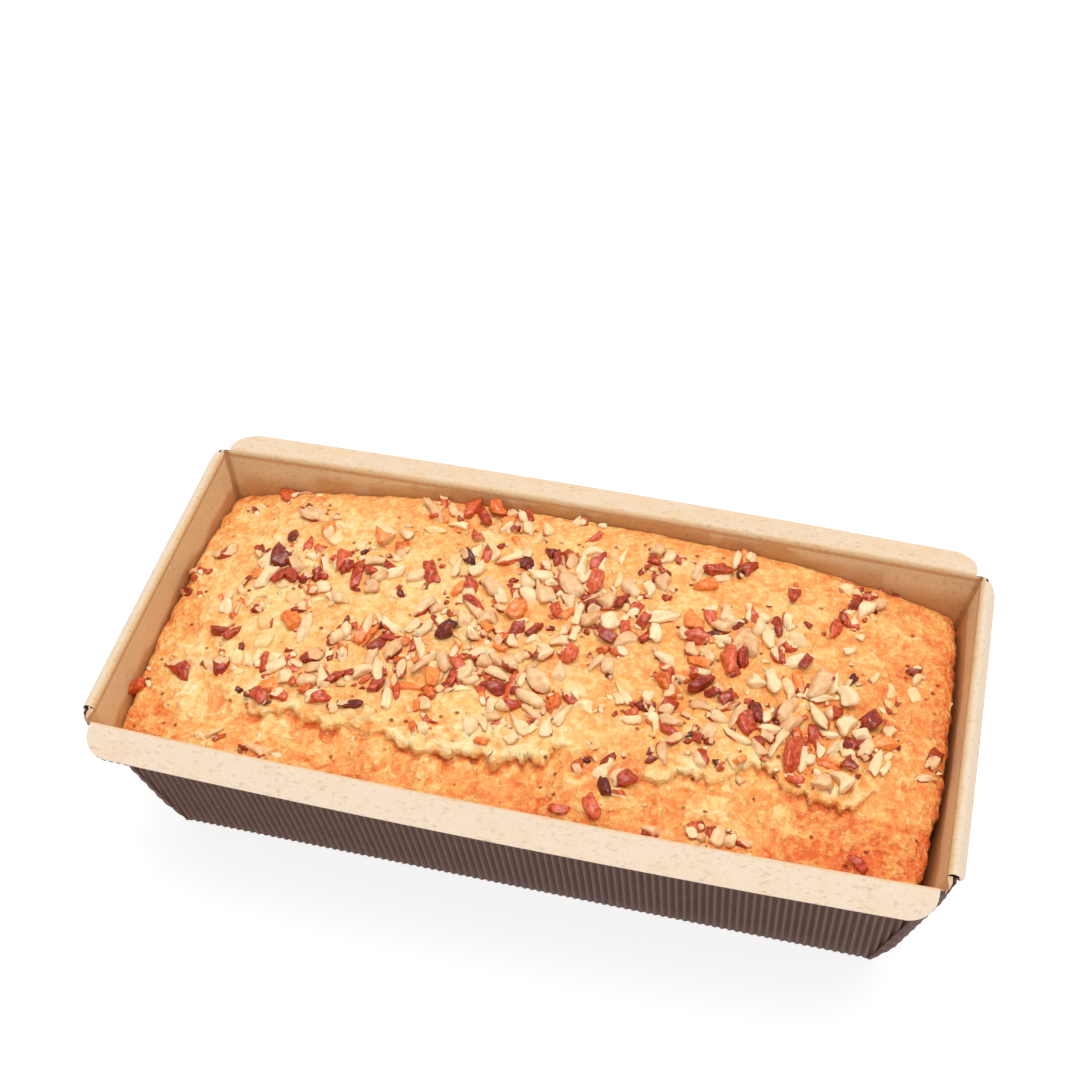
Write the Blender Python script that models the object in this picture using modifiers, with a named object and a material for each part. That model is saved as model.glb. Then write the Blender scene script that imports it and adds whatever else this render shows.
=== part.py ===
"""Pound cake loaf in its folded paper case, in metres, +Z up.

The origin is the middle of the case's underside. +X runs along the loaf and -Y is its front.
The case is one folded board: a tray with sloping walls, four flanges turned out and down over
a rounded fold, and a folded web, the ear, lying flat outside each end of the short walls.
The cake is one solid that fills the case and domes up towards the height of the rim.
"""

import math

import bmesh
import bpy
import numpy

MM = 0.001

# Case: outer sizes of the base, and sizes of the rim along the crest of its folds.
BASE_LENGTH = 201.2 * MM
BASE_WIDTH = 77.8 * MM
RIM_LENGTH = 228.0 * MM
RIM_WIDTH = 107.6 * MM
HEIGHT = 62.5 * MM
BOARD = 1.4 * MM
FOLD_RADIUS = 1.5 * MM
BASE_RADIUS = 1.3 * MM
LONG_BULGE = 1.7 * MM
SHORT_BULGE = 2.2 * MM

# Flanges: the flat width past the fold, the slope below horizontal and the radius of the ends.
LONG_FLANGE = 8.2 * MM
LONG_TILT = math.radians(14.5)
LONG_END_RADIUS = 7.4 * MM
SHORT_FLANGE = 3.4 * MM
SHORT_TILT = math.radians(61.0)
SHORT_END_RADIUS = 3.0 * MM

# Corners: how much each is cut off at the base, and at the rim along X and along Y, where
# the short flanges start further from the front corners than from the back ones.
CORNER_CUT_BASE = 1.2 * MM
CORNER_CUT_X = 1.4 * MM
CORNER_CUT_FRONT = 4.2 * MM
CORNER_CUT_BACK = 1.5 * MM
CORNER_BOW = 0.2 * MM

# Ears: two layers of squashed board outside the short walls, widest at the rim.
EAR_THICK = 2.0 * MM
EAR_REACH = 36.0 * MM
EAR_RAMP = 6.0 * MM
EAR_FULL_REACH = 12.0 * MM
EAR_TOP = 58.3 * MM
EAR_BOTTOM = 4.0 * MM
EAR_ROOT = 0.6 * MM

# Cake: the clearance to the case, and the heights of its top above the ground.
FLOOR_GAP = 0.4 * MM
SIDE_GAP = 0.6 * MM
TOP_GAP = 0.9 * MM
END_HEIGHT = 46.4 * MM
LENGTH_RISE = 10.4 * MM
WIDTH_RISE = 2.4 * MM
END_WIDTH_RISE = 2.0 * MM
ROLL_RADIUS = 4.5 * MM
ROLL_RISE = 2.0 * MM
CAKE_CORNER = 5.0 * MM
LUMP_HEIGHT = 0.35 * MM
LUMP_SPACING = 19.0 * MM

# Lip: the raised crust of the top ends in a ledge along the front; points run left to right.
LIP_STEP = 1.7 * MM
LIP_SLOPE = 1.8 * MM
LIP_FADE = 8.0 * MM
LIP_X = [v * MM for v in (-77, -60, -36, -16, 10, 24, 45, 58, 66, 80, 94)]
LIP_Y = [v * MM for v in (-31, -35, -38, -38, -34, -30, -33, -29, -25, -29, -24)]

# Mesh density.
FOLD_STEPS = 5
FLANGE_END_STEPS = 5
FLANGE_ROWS = 2
LONG_STATIONS = 12
SHORT_STATIONS = 6
CAKE_COLUMNS = 60
CAKE_ROWS = 28

SLOPE_X = (RIM_LENGTH - BASE_LENGTH) / 2 / HEIGHT
SLOPE_Y = (RIM_WIDTH - BASE_WIDTH) / 2 / HEIGHT


def clear_scene():
    """Remove every object that the file starts with."""
    for thing in list(bpy.data.objects):
        bpy.data.objects.remove(thing, do_unlink=True)


def new_collection(name):
    """Add a collection of this name to the scene and return it."""
    collection = bpy.data.collections.new(name)
    bpy.context.scene.collection.children.link(collection)
    return collection


def new_material(name, colour, roughness):
    """Return a plain Principled material of one colour."""
    material = bpy.data.materials.new(name)
    material.use_nodes = True
    shader = material.node_tree.nodes["Principled BSDF"]
    shader.inputs["Base Color"].default_value = (*colour, 1.0)
    shader.inputs["Roughness"].default_value = roughness
    shader.inputs["Metallic"].default_value = 0.0
    return material


def new_object(name, bm, collection, material):
    """Turn a bmesh into a smooth-shaded object in the collection."""
    bmesh.ops.recalc_face_normals(bm, faces=bm.faces)
    mesh = bpy.data.meshes.new(name)
    bm.to_mesh(mesh)
    bm.free()
    mesh.materials.append(material)
    mesh.shade_smooth()
    mesh.set_sharp_from_angle(angle=math.radians(35))
    thing = bpy.data.objects.new(name, mesh)
    collection.objects.link(thing)
    return thing


def add_strips(bm, rows, closed):
    """Span quads between neighbouring rows of points, and return each row's vertices."""
    lines = [[bm.verts.new(point) for point in row] for row in rows]
    for low, high in zip(lines, lines[1:]):
        for k in range(len(low) if closed else len(low) - 1):
            n = (k + 1) % len(low)
            bm.faces.new((low[k], low[n], high[n], high[k]))
    return lines


def inner_half(z):
    """Half length and half width of the tray's inner face at height z."""
    half_x = BASE_LENGTH / 2 + SLOPE_X * z - BOARD * math.hypot(1, SLOPE_X)
    half_y = BASE_WIDTH / 2 + SLOPE_Y * z - BOARD * math.hypot(1, SLOPE_Y)
    return half_x, half_y


def corner_cut(z, at_rim):
    """How much is cut off a corner at height z, given how much is cut off it at the rim."""
    return CORNER_CUT_BASE + (at_rim - CORNER_CUT_BASE) * z / HEIGHT


def long_bulge(share, z):
    """How far a long wall bows out, most at its middle and at the rim."""
    return LONG_BULGE * (1 - share * share) * z / HEIGHT


def short_bulge(share, z):
    """How far a short wall bows out, most at its middle and halfway up."""
    t = min(z / HEIGHT, 1)
    return SHORT_BULGE * (1 - share * share) * 4 * t * (1 - t)


def end_shares(run, radius):
    """Shares of a half length at which a flange's round end has its columns, outermost first."""
    steps = range(FLANGE_END_STEPS + 1)
    backs = [radius * (1 - math.cos(math.pi / 2 * k / FLANGE_END_STEPS)) for k in steps]
    return [1 - back / run for back in backs]


def side_shares(run, radius, stations):
    """Places along one side, from -1 to 1, close together at both ends."""
    ends = end_shares(run, radius)
    inner = ends[-1]
    middle = [inner * (2 * k / stations - 1) for k in range(1, stations)]
    return [-share for share in ends] + middle + ends[::-1]


def long_shares():
    """Places of the columns along a long side."""
    run = inner_half(HEIGHT)[0] - CORNER_CUT_X
    return side_shares(run, LONG_END_RADIUS, LONG_STATIONS)


def short_shares():
    """Places of the columns along a short side."""
    run = inner_half(HEIGHT)[1] - (CORNER_CUT_FRONT + CORNER_CUT_BACK) / 2
    return side_shares(run, SHORT_END_RADIUS, SHORT_STATIONS)


def long_side(z, shift, face):
    """Points along a long wall's inner face, moved out by shift; face is -1 at the front."""
    half_x, half_y = inner_half(z)
    run = half_x + shift - corner_cut(z, CORNER_CUT_X)
    points = []
    for share in long_shares():
        out = half_y + shift + long_bulge(share, z)
        points.append((-face * share * run, face * out, z))
    return points


def short_side(z, shift, face):
    """Points along a short wall's inner face, moved out by shift; face is 1 at the right."""
    half_x, half_y = inner_half(z)
    front = half_y + shift - corner_cut(z, CORNER_CUT_FRONT)
    back = half_y + shift - corner_cut(z, CORNER_CUT_BACK)
    points = []
    for share in short_shares():
        along = (back - front + face * share * (back + front)) / 2
        points.append((face * (half_x + shift + short_bulge(share, z)), along, z))
    return points


def corner_points(start, end):
    """Two points of a gently bowed corner between the ends of two sides."""
    points = []
    for share in (1 / 3, 2 / 3):
        x = start[0] + (end[0] - start[0]) * share
        y = start[1] + (end[1] - start[1]) * share
        points.append((x + math.copysign(CORNER_BOW, x), y + math.copysign(CORNER_BOW, y), start[2]))
    return points


def tray_ring(z, drawn_in):
    """One level of the tray's inner face, anticlockwise from the front left corner."""
    sides = [
        long_side(z, -drawn_in, -1),
        short_side(z, -drawn_in, 1),
        long_side(z, -drawn_in, 1),
        short_side(z, -drawn_in, -1),
    ]
    ring = []
    for k, side in enumerate(sides):
        ring += side
        ring += corner_points(side[-1], sides[(k + 1) % 4][0])
    return ring


def fold_start(slope):
    """Height at which a wall of this slope turns into its fold."""
    return HEIGHT - FOLD_RADIUS + FOLD_RADIUS * math.sin(math.atan(slope))


def tray_rings():
    """All levels of the tray, from the rounded edge of its floor to the folds."""
    rings = []
    for angle in (0, 30, 60, 90):
        turn = math.radians(angle)
        z = BOARD + BASE_RADIUS * (1 - math.cos(turn))
        rings.append(tray_ring(z, BASE_RADIUS * (1 - math.sin(turn))))
    top = fold_start(SLOPE_X)
    for share in (0.35, 0.7, 1.0):
        rings.append(tray_ring(BOARD + (top - BOARD) * share, 0))
    return rings


def flange_profile(slope, tilt, width):
    """Steps out and up from where the wall ends, over the fold and down the flange."""
    lean = math.atan(slope)
    start = -(math.pi / 2 - lean)
    turns = [start + (tilt - start) * k / FOLD_STEPS for k in range(FOLD_STEPS + 1)]
    centre_out = FOLD_RADIUS * math.cos(lean)
    centre_up = -FOLD_RADIUS * math.sin(lean)
    fold = [(centre_out + FOLD_RADIUS * math.sin(a), centre_up + FOLD_RADIUS * math.cos(a)) for a in turns]
    flat = []
    for row in range(1, FLANGE_ROWS + 1):
        reach = width * row / FLANGE_ROWS
        flat.append((fold[-1][0] + reach * math.cos(tilt), fold[-1][1] - reach * math.sin(tilt)))
    return fold, flat


def end_width(column, count, radius, width):
    """Share of the full width that a flange has at this column, less in its round ends."""
    step = min(column, count - 1 - column, FLANGE_END_STEPS)
    lost = radius * (1 - math.sin(math.pi / 2 * step / FLANGE_END_STEPS))
    return (width - lost) / width


def flange_rows(side, outward, slope, tilt, width, radius):
    """Rows of a flange, beginning with the wall's own top row of points."""
    fold, flat = flange_profile(slope, tilt, width)
    rows = [[(x + outward[0] * out, y + outward[1] * out, z + up) for x, y, z in side] for out, up in fold]
    for out, up in flat:
        row = []
        for column, (x, y, z) in enumerate(side):
            share = end_width(column, len(side), radius, width)
            reach = fold[-1][0] + (out - fold[-1][0]) * share
            rise = fold[-1][1] + (up - fold[-1][1]) * share
            row.append((x + outward[0] * reach, y + outward[1] * reach, z + rise))
        rows.append(row)
    return rows


def make_tray(collection, material):
    """The case without its ears: an open sheet of board given its thickness."""
    bm = bmesh.new()
    lines = add_strips(bm, tray_rings(), closed=True)
    bm.faces.new(lines[0])
    top = fold_start(SLOPE_X)
    for face in (-1, 1):
        side = long_side(top, 0, face)
        rows = flange_rows(side, (0, face), SLOPE_Y, LONG_TILT, LONG_FLANGE, LONG_END_RADIUS)
        add_strips(bm, rows, closed=False)
        side = short_side(top, 0, face)
        rows = flange_rows(side, (face, 0), SLOPE_X, SHORT_TILT, SHORT_FLANGE, SHORT_END_RADIUS)
        add_strips(bm, rows, closed=False)
    bmesh.ops.remove_doubles(bm, verts=bm.verts, dist=0.00001)
    tray = new_object("paper_case", bm, collection, material)
    solidify = tray.modifiers.new("board", "SOLIDIFY")
    solidify.thickness = BOARD
    solidify.offset = -1 if tray.data.polygons[0].normal.z > 0 else 1
    solidify.use_even_offset = True
    return tray


def ear_outline(z, face_x, face_y):
    """Section of an ear at height z: along its outside, round its folded edge and back."""
    half_x, half_y = inner_half(z)
    wall = half_x + BOARD * math.hypot(1, SLOPE_X)
    start = half_y - corner_cut(z, CORNER_CUT_FRONT if face_y < 0 else CORNER_CUT_BACK)
    reach = EAR_REACH * z / HEIGHT
    ramp = min(EAR_RAMP, reach * 0.35)
    loop = min(EAR_THICK * 0.5, reach * 0.2)
    stations = (0, ramp * 0.5, ramp, reach * 0.7, reach - loop, reach - loop * 0.3, reach)
    swell = (0.15, 0.75, 1.0, 1.0, 1.0, 0.75, 0.2)
    thick = EAR_THICK * min(1, reach / EAR_FULL_REACH)
    outside = [(thick * s, start - d) for d, s in zip(stations, swell)]
    inside = [(-EAR_ROOT, start - d) for d in reversed(stations)]
    points = []
    for out, y in outside + inside:
        points.append((face_x * (wall + short_bulge(y / half_y, z) + out), face_y * y, z))
    return points


def make_ear(face_x, face_y, collection, material):
    """One ear as a closed loft, later joined to the tray."""
    bm = bmesh.new()
    levels = [EAR_BOTTOM + (EAR_TOP - EAR_BOTTOM) * k / 4 for k in range(5)]
    rings = [ear_outline(z, face_x, face_y) for z in levels]
    lines = add_strips(bm, rings, closed=True)
    bm.faces.new(lines[0])
    bm.faces.new(lines[-1])
    return new_object("ear", bm, collection, material)


def make_case(collection, cutters, material):
    """The whole case: the tray with its four ears joined on."""
    tray = make_tray(collection, material)
    for face_x in (-1, 1):
        for face_y in (-1, 1):
            ear = make_ear(face_x, face_y, cutters, material)
            ear.hide_render = True
            ear.display_type = "WIRE"
            join = tray.modifiers.new("ear", "BOOLEAN")
            join.operation = "UNION"
            join.solver = "EXACT"
            join.object = ear
    return tray


def cake_half(z, gap):
    """Half length and half width of the cake's side at height z."""
    half_x, half_y = inner_half(z)
    return half_x - gap, half_y - gap


def rounded(x, y, half_x, half_y, radius):
    """Pull a point of a rectangle into the rounded corner of that rectangle."""
    over_x = (abs(x) - half_x + radius) / radius
    over_y = (abs(y) - half_y + radius) / radius
    if over_x <= 0 or over_y <= 0:
        return x, y
    round_x = over_x * math.sqrt(1 - over_y * over_y / 2)
    round_y = over_y * math.sqrt(1 - over_x * over_x / 2)
    new_x = math.copysign(half_x - radius + radius * round_x, x)
    new_y = math.copysign(half_y - radius + radius * round_y, y)
    return new_x, new_y


def edge_height(u):
    """Height at which the cake's top meets the long walls, at a share u of the half length."""
    return END_HEIGHT + LENGTH_RISE * (1 - abs(u) ** 2.6)


def lip_drop(x, y):
    """How far the front band lies below the raised crust behind the lip."""
    line = float(numpy.interp(x, LIP_X, LIP_Y))
    ends = min(x - LIP_X[0], LIP_X[-1] - x) / LIP_FADE
    depth = LIP_STEP * min(max(ends + 1, 0), 1)
    share = min(max((line - y) / LIP_SLOPE + 0.5, 0), 1)
    return depth * share * share * (3 - 2 * share)


def lumps(x, y):
    """Gentle unevenness of the baked top."""
    k = 2 * math.pi / LUMP_SPACING
    broad = math.sin(0.53 * k * x + 1.3) * math.cos(0.61 * k * y + 0.4)
    fine = math.sin(k * (x + 0.3 * y)) * math.cos(k * (y - 0.4 * x) + 0.9)
    return LUMP_HEIGHT * (broad + fine)


def top_point(u, v):
    """Point of the cake's top at shares u and v of its half length and half width."""
    z_edge = edge_height(u)
    half_x, half_y = cake_half(z_edge, TOP_GAP)
    x, y = rounded(u * half_x, v * half_y, half_x, half_y, CAKE_CORNER)
    x += u * short_bulge(v, z_edge)
    y += v * long_bulge(u, z_edge)
    inside = min((1 - abs(u)) * half_x, (1 - abs(v)) * half_y)
    roll = 1 - min(inside / ROLL_RADIUS, 1)
    rise = END_WIDTH_RISE + (WIDTH_RISE - END_WIDTH_RISE) * (1 - u**4)
    z = z_edge + ROLL_RISE * math.sqrt(1 - roll * roll) + rise * (1 - abs(v) ** 2.4)
    z += (1 - roll) * (lumps(x, y) - lip_drop(x, y))
    return x, y, z


def side_point(u, v, z, gap, radius):
    """Point of the cake's side below the edge of the top at (u, v)."""
    half_x, half_y = cake_half(z, gap)
    x, y = rounded(u * half_x, v * half_y, half_x, half_y, radius)
    return x + u * short_bulge(v, z), y + v * long_bulge(u, z), z


def spread(s):
    """Move evenly spaced places from -1 to 1 closer together near the ends."""
    return s + 0.35 * math.sin(math.pi * s) / math.pi


def add_side(bm, edges, places, z, gap, radius):
    """Extend the open edge loop down to one more level and return its new edges."""
    added = bmesh.ops.extrude_edge_only(bm, edges=edges)["geom"]
    verts = [item for item in added if isinstance(item, bmesh.types.BMVert)]
    new_edges = [item for item in added if isinstance(item, bmesh.types.BMEdge)]
    for old in {vert for edge in edges for vert in edge.verts}:
        link = next(edge.other_vert(old) for edge in old.link_edges if edge.other_vert(old) in verts)
        places[link] = places[old]
    for vert in verts:
        vert.co = side_point(*places[vert], z, gap, radius)
    return new_edges


def make_cake(collection, material):
    """The cake: a domed grid for the top, sides drawn down the walls and a flat underside."""
    bm = bmesh.new()
    bmesh.ops.create_grid(bm, x_segments=CAKE_COLUMNS, y_segments=CAKE_ROWS, size=1)
    places = {vert: (spread(vert.co.x), spread(vert.co.y)) for vert in bm.verts}
    edges = [edge for edge in bm.edges if edge.is_boundary]
    for vert, place in places.items():
        vert.co = top_point(*place)
    floor = BOARD + FLOOR_GAP
    levels = (
        (30 * MM, SIDE_GAP, 5 * MM),
        (floor + 2.4 * MM, SIDE_GAP, 4 * MM),
        (floor + 0.7 * MM, SIDE_GAP + 0.7 * MM, 4 * MM),
        (floor, SIDE_GAP + 2.4 * MM, 4 * MM),
    )
    for z, gap, radius in levels:
        edges = add_side(bm, edges, places, z, gap, radius)
    bmesh.ops.contextual_create(bm, geom=edges)
    return new_object("cake", bm, collection, material)


def main():
    """Build the case and the cake."""
    clear_scene()
    parts = new_collection("pound_cake_loaf")
    cutters = new_collection("cutters")
    kraft = new_material("kraft_board", (0.58, 0.40, 0.24), 0.8)
    crust = new_material("baked_crust", (0.80, 0.40, 0.12), 0.6)
    make_case(parts, cutters, kraft)
    make_cake(parts, crust)


main()
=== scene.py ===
"""Looks of a pound cake loaf with chopped pecans, baked in a fluted kraft paper case.

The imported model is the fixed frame. This file dresses it: the case as its two papers, a kraft
liner and a chocolate brown fluted sheet, the cake as one lumpy baked solid with ragged lips
along its front, and the chopped pecans that lie on the crust or are half sunk in it.
All lengths are metres. +X runs along the loaf, -Y is its front and +Z is up.
"""

import logging
import math
from collections.abc import Iterable, Mapping, Sequence
from dataclasses import dataclass, field
from enum import Enum
from typing import Any

import bmesh
import bpy
import numpy as np
from mathutils import Matrix, Vector
from mathutils.bvhtree import BVHTree

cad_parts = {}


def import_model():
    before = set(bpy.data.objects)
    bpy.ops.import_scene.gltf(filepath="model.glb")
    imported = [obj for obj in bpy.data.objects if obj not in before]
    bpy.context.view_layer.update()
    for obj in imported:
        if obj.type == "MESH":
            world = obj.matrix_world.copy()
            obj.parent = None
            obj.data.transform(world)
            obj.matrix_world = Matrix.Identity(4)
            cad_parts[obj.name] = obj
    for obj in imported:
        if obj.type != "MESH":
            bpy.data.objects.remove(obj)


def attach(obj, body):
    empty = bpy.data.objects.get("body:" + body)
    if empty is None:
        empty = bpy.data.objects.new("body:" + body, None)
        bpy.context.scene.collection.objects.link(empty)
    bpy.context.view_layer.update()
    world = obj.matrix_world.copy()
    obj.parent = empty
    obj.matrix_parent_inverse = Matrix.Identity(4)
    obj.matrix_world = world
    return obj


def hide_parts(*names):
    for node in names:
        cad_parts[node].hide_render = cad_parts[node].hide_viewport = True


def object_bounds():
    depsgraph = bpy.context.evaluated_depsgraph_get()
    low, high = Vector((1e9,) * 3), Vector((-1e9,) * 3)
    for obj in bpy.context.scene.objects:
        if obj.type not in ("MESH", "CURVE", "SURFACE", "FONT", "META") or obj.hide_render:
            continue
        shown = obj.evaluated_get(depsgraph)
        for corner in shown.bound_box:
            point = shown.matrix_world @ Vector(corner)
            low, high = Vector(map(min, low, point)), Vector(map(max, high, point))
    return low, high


MM = 0.001
LOG = logging.getLogger("pound_cake_loaf")
Array = np.ndarray


def linear(code: str) -> tuple[float, float, float, float]:
    """Turn an sRGB hex colour into linear values.

    Args:
        code: Colour such as "#C8A078".

    Returns:
        Linear red, green and blue with an alpha of 1.
    """
    parts = [int(code[k : k + 2], 16) / 255 for k in (1, 3, 5)]
    values = [p / 12.92 if p <= 0.04045 else ((p + 0.055) / 1.055) ** 2.4 for p in parts]
    return values[0], values[1], values[2], 1.0


def per_mm(size: float) -> float:
    """Scale of a pattern in object space whose features are this many millimetres wide."""
    return 1.0 / (size * MM)


def smooth(share: Array | float) -> Array:
    """Ease from 0 to 1 as the share goes from 0 to 1."""
    t = np.clip(share, 0.0, 1.0)
    return t * t * (3 - 2 * t)


def drift(x: Array, y: Array, cell: float, seed: int) -> Array:
    """Smooth random values from -1 to 1.

    Args:
        x: Places along X.
        y: Places along Y.
        cell: Distance over which the values change, in millimetres.
        seed: Picks the pattern.

    Returns:
        One value for each place.
    """
    table = np.random.default_rng(seed).uniform(-1, 1, (128, 128))
    gx, gy = np.asarray(x) / (cell * MM) + 31.7, np.asarray(y) / (cell * MM) + 57.3
    ix, iy = np.floor(gx).astype(int), np.floor(gy).astype(int)
    fx, fy = smooth(gx - ix), smooth(gy - iy)
    low = table[ix % 128, iy % 128] * (1 - fx) + table[(ix + 1) % 128, iy % 128] * fx
    high = table[ix % 128, (iy + 1) % 128] * (1 - fx) + table[(ix + 1) % 128, (iy + 1) % 128] * fx
    return low * (1 - fy) + high * fy


def blisters(x: Array, y: Array, cell: float, seed: int) -> Array:
    """Rounded lumps of uneven sizes, strewn with flat crust between them.

    Args:
        x: Places along X.
        y: Places along Y.
        cell: Mean distance between lumps in millimetres.
        seed: Picks the pattern.

    Returns:
        Height of the lumps from 0 to 1.
    """
    table = np.random.default_rng(seed).uniform(0, 1, (64, 64, 4))
    gx, gy = np.asarray(x) / (cell * MM) + 200, np.asarray(y) / (cell * MM) + 200
    ix, iy = np.floor(gx).astype(int), np.floor(gy).astype(int)
    height = np.zeros(gx.shape)
    for dx in (-1, 0, 1):
        for dy in (-1, 0, 1):
            spot = table[(ix + dx) % 64, (iy + dy) % 64]
            size = 0.3 + 0.55 * spot[..., 2]
            away = np.hypot(ix + dx + spot[..., 0] - gx, iy + dy + spot[..., 1] - gy) / size
            dome = np.clip(1 - away * away, 0, 1) ** 0.8 * (0.3 + 0.7 * spot[..., 3]) * size / 0.85
            height = np.maximum(height, dome)
    return height


def add_node(
    tree: bpy.types.NodeTree,
    kind: str,
    inputs: Mapping[Any, Any] | None = None,
    stops: Sequence[tuple[float, Any]] | None = None,
    **settings: Any,
) -> bpy.types.Node:
    """Add a node with its settings and links.

    Args:
        tree: Node tree that gets the node.
        kind: Type of the node, without its "ShaderNode" start.
        inputs: Input name or index to a value, or to the socket that feeds it.
        stops: Places and colours of a colour ramp.
        settings: Properties of the node.

    Returns:
        The new node.
    """
    node = tree.nodes.new("ShaderNode" + kind)
    for name, value in settings.items():
        setattr(node, name, value)
    for key, value in (inputs or {}).items():
        if isinstance(value, bpy.types.NodeSocket):
            tree.links.new(value, node.inputs[key])
        else:
            node.inputs[key].default_value = value
    if stops:
        ramp = node.color_ramp
        while len(ramp.elements) < len(stops):
            ramp.elements.new(0.5)
        for element, (place, colour) in zip(ramp.elements, stops):
            element.position = place
            element.color = linear(colour) if isinstance(colour, str) else (colour, colour, colour, 1)
    return node


@dataclass(frozen=True)
class Finish:
    """A material: its name, and how its Principled shader is set before the patterns."""

    name: str
    roughness: float
    ior: float = 1.5
    specular: float = 0.5

    def start(self) -> tuple[bpy.types.Material, bpy.types.NodeTree, bpy.types.Node]:
        """Make the material with its plain settings.

        Returns:
            The material, its node tree and its Principled shader.
        """
        material = bpy.data.materials.new(self.name)
        material.use_nodes = True
        tree = material.node_tree
        shader = tree.nodes["Principled BSDF"]
        shader.inputs["Roughness"].default_value = self.roughness
        shader.inputs["IOR"].default_value = self.ior
        shader.inputs["Specular IOR Level"].default_value = self.specular
        return material, tree, shader


@dataclass(frozen=True)
class KraftPaper(Finish):
    """Uncoated kraft paper: matt, tan, with fibres and flecks, darker where fat has soaked in. Its tan walls against
    pale flanges are partly its tone and partly painted light, and it has painted shade in its corners and under its
    fold.
    """

    name: str = "kraft_paper"
    roughness: float = 0.62
    # pale is for the flange and the fold's top, tan for the walls: partly the paper's tone, partly painted light.
    pale: str = "#E1CDB6"
    tan: str = "#E0BE90"
    # The soaked colour marks real fat stains and also paints shade in the middle of each corner.
    soaked: str = "#C88F56"
    # Colour of the painted line of shade just below the fold.
    shade_below_fold: str = "#CF9F6E"
    fleck: str = "#9A6438"

    def make(self) -> bpy.types.Material:
        """Build the material.

        Returns:
            Kraft paper that reads the layers "shade", "soak" and "crease" of its mesh.
        """
        material, tree, shader = self.start()
        place = add_node(tree, "TexCoord").outputs["Object"]
        shade = add_node(tree, "Attribute", attribute_name="shade").outputs["Fac"]
        soak_and_corner_shade = add_node(tree, "Attribute", attribute_name="soak_and_corner_shade").outputs["Fac"]
        shade_below_fold = add_node(tree, "Attribute", attribute_name="shade_below_fold").outputs["Fac"]
        # Paper felts unevenly, so its colour wanders over about a centimetre.
        cloud = add_node(tree, "TexNoise", {"Vector": place, "Scale": per_mm(7), "Detail": 5.0, "Roughness": 0.65})
        uneven = add_node(
            tree,
            "MapRange",
            {"Value": cloud.outputs["Fac"], "From Min": 0.35, "From Max": 0.65, "To Min": -0.25, "To Max": 0.25},
        )
        # The shade layer mixes pale into tan: partly the paper's own tone, partly painted shade on the walls in the
        # tray and a painted highlight on the top of the fold.
        toned = add_node(tree, "Math", {0: shade, 1: uneven.outputs["Result"]}, operation="ADD", use_clamp=True)
        base = add_node(
            tree,
            "Mix",
            {0: toned.outputs[0], 6: linear(self.pale), 7: linear(self.tan)},
            data_type="RGBA",
        )
        # Soaked colour: real fat stains, and painted shade in the middle of each corner.
        wet = add_node(
            tree,
            "Mix",
            {0: soak_and_corner_shade, 6: base.outputs[2], 7: linear(self.soaked)},
            data_type="RGBA",
        )
        # A painted line of shade runs along the wall just below the fold.
        lined = add_node(
            tree,
            "Mix",
            {0: shade_below_fold, 6: wet.outputs[2], 7: linear(self.shade_below_fold)},
            data_type="RGBA",
        )
        # Fibres are 0.03 mm wide, too fine to show, so they are drawn 0.45 mm wide and 1 mm long.
        stretch = add_node(tree, "Mapping", {"Vector": place, "Scale": (0.5, 1.0, 0.8)})
        fibre = add_node(
            tree,
            "TexNoise",
            {"Vector": stretch.outputs[0], "Scale": per_mm(0.45), "Detail": 4.0, "Roughness": 0.7},
        )
        fine = add_node(
            tree,
            "Mix",
            {0: 0.4, 6: lined.outputs[2], 7: fibre.outputs["Fac"]},
            data_type="RGBA",
            blend_type="SOFT_LIGHT",
        )
        # Bark flecks are about 0.5 mm across and stand a few millimetres apart.
        grain = add_node(tree, "TexNoise", {"Vector": stretch.outputs[0], "Scale": per_mm(1.0), "Detail": 3.0})
        mark = add_node(
            tree,
            "MapRange",
            {"Value": grain.outputs["Fac"], "From Min": 0.56, "From Max": 0.74, "To Max": 0.32},
        )
        flecked = add_node(
            tree,
            "Mix",
            {0: mark.outputs["Result"], 6: fine.outputs[2], 7: linear(self.fleck)},
            data_type="RGBA",
        )
        tree.links.new(flecked.outputs[2], shader.inputs["Base Color"])
        bump = add_node(
            tree,
            "Bump",
            {"Height": fibre.outputs["Fac"], "Strength": 0.25, "Distance": 0.1 * MM},
        )
        tree.links.new(bump.outputs[0], shader.inputs["Normal"])
        # Soaked paper is a little glossier than dry paper.
        gloss = add_node(tree, "MapRange", {"Value": soak_and_corner_shade, "To Min": self.roughness, "To Max": 0.45})
        tree.links.new(gloss.outputs["Result"], shader.inputs["Roughness"])
        return material


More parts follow.
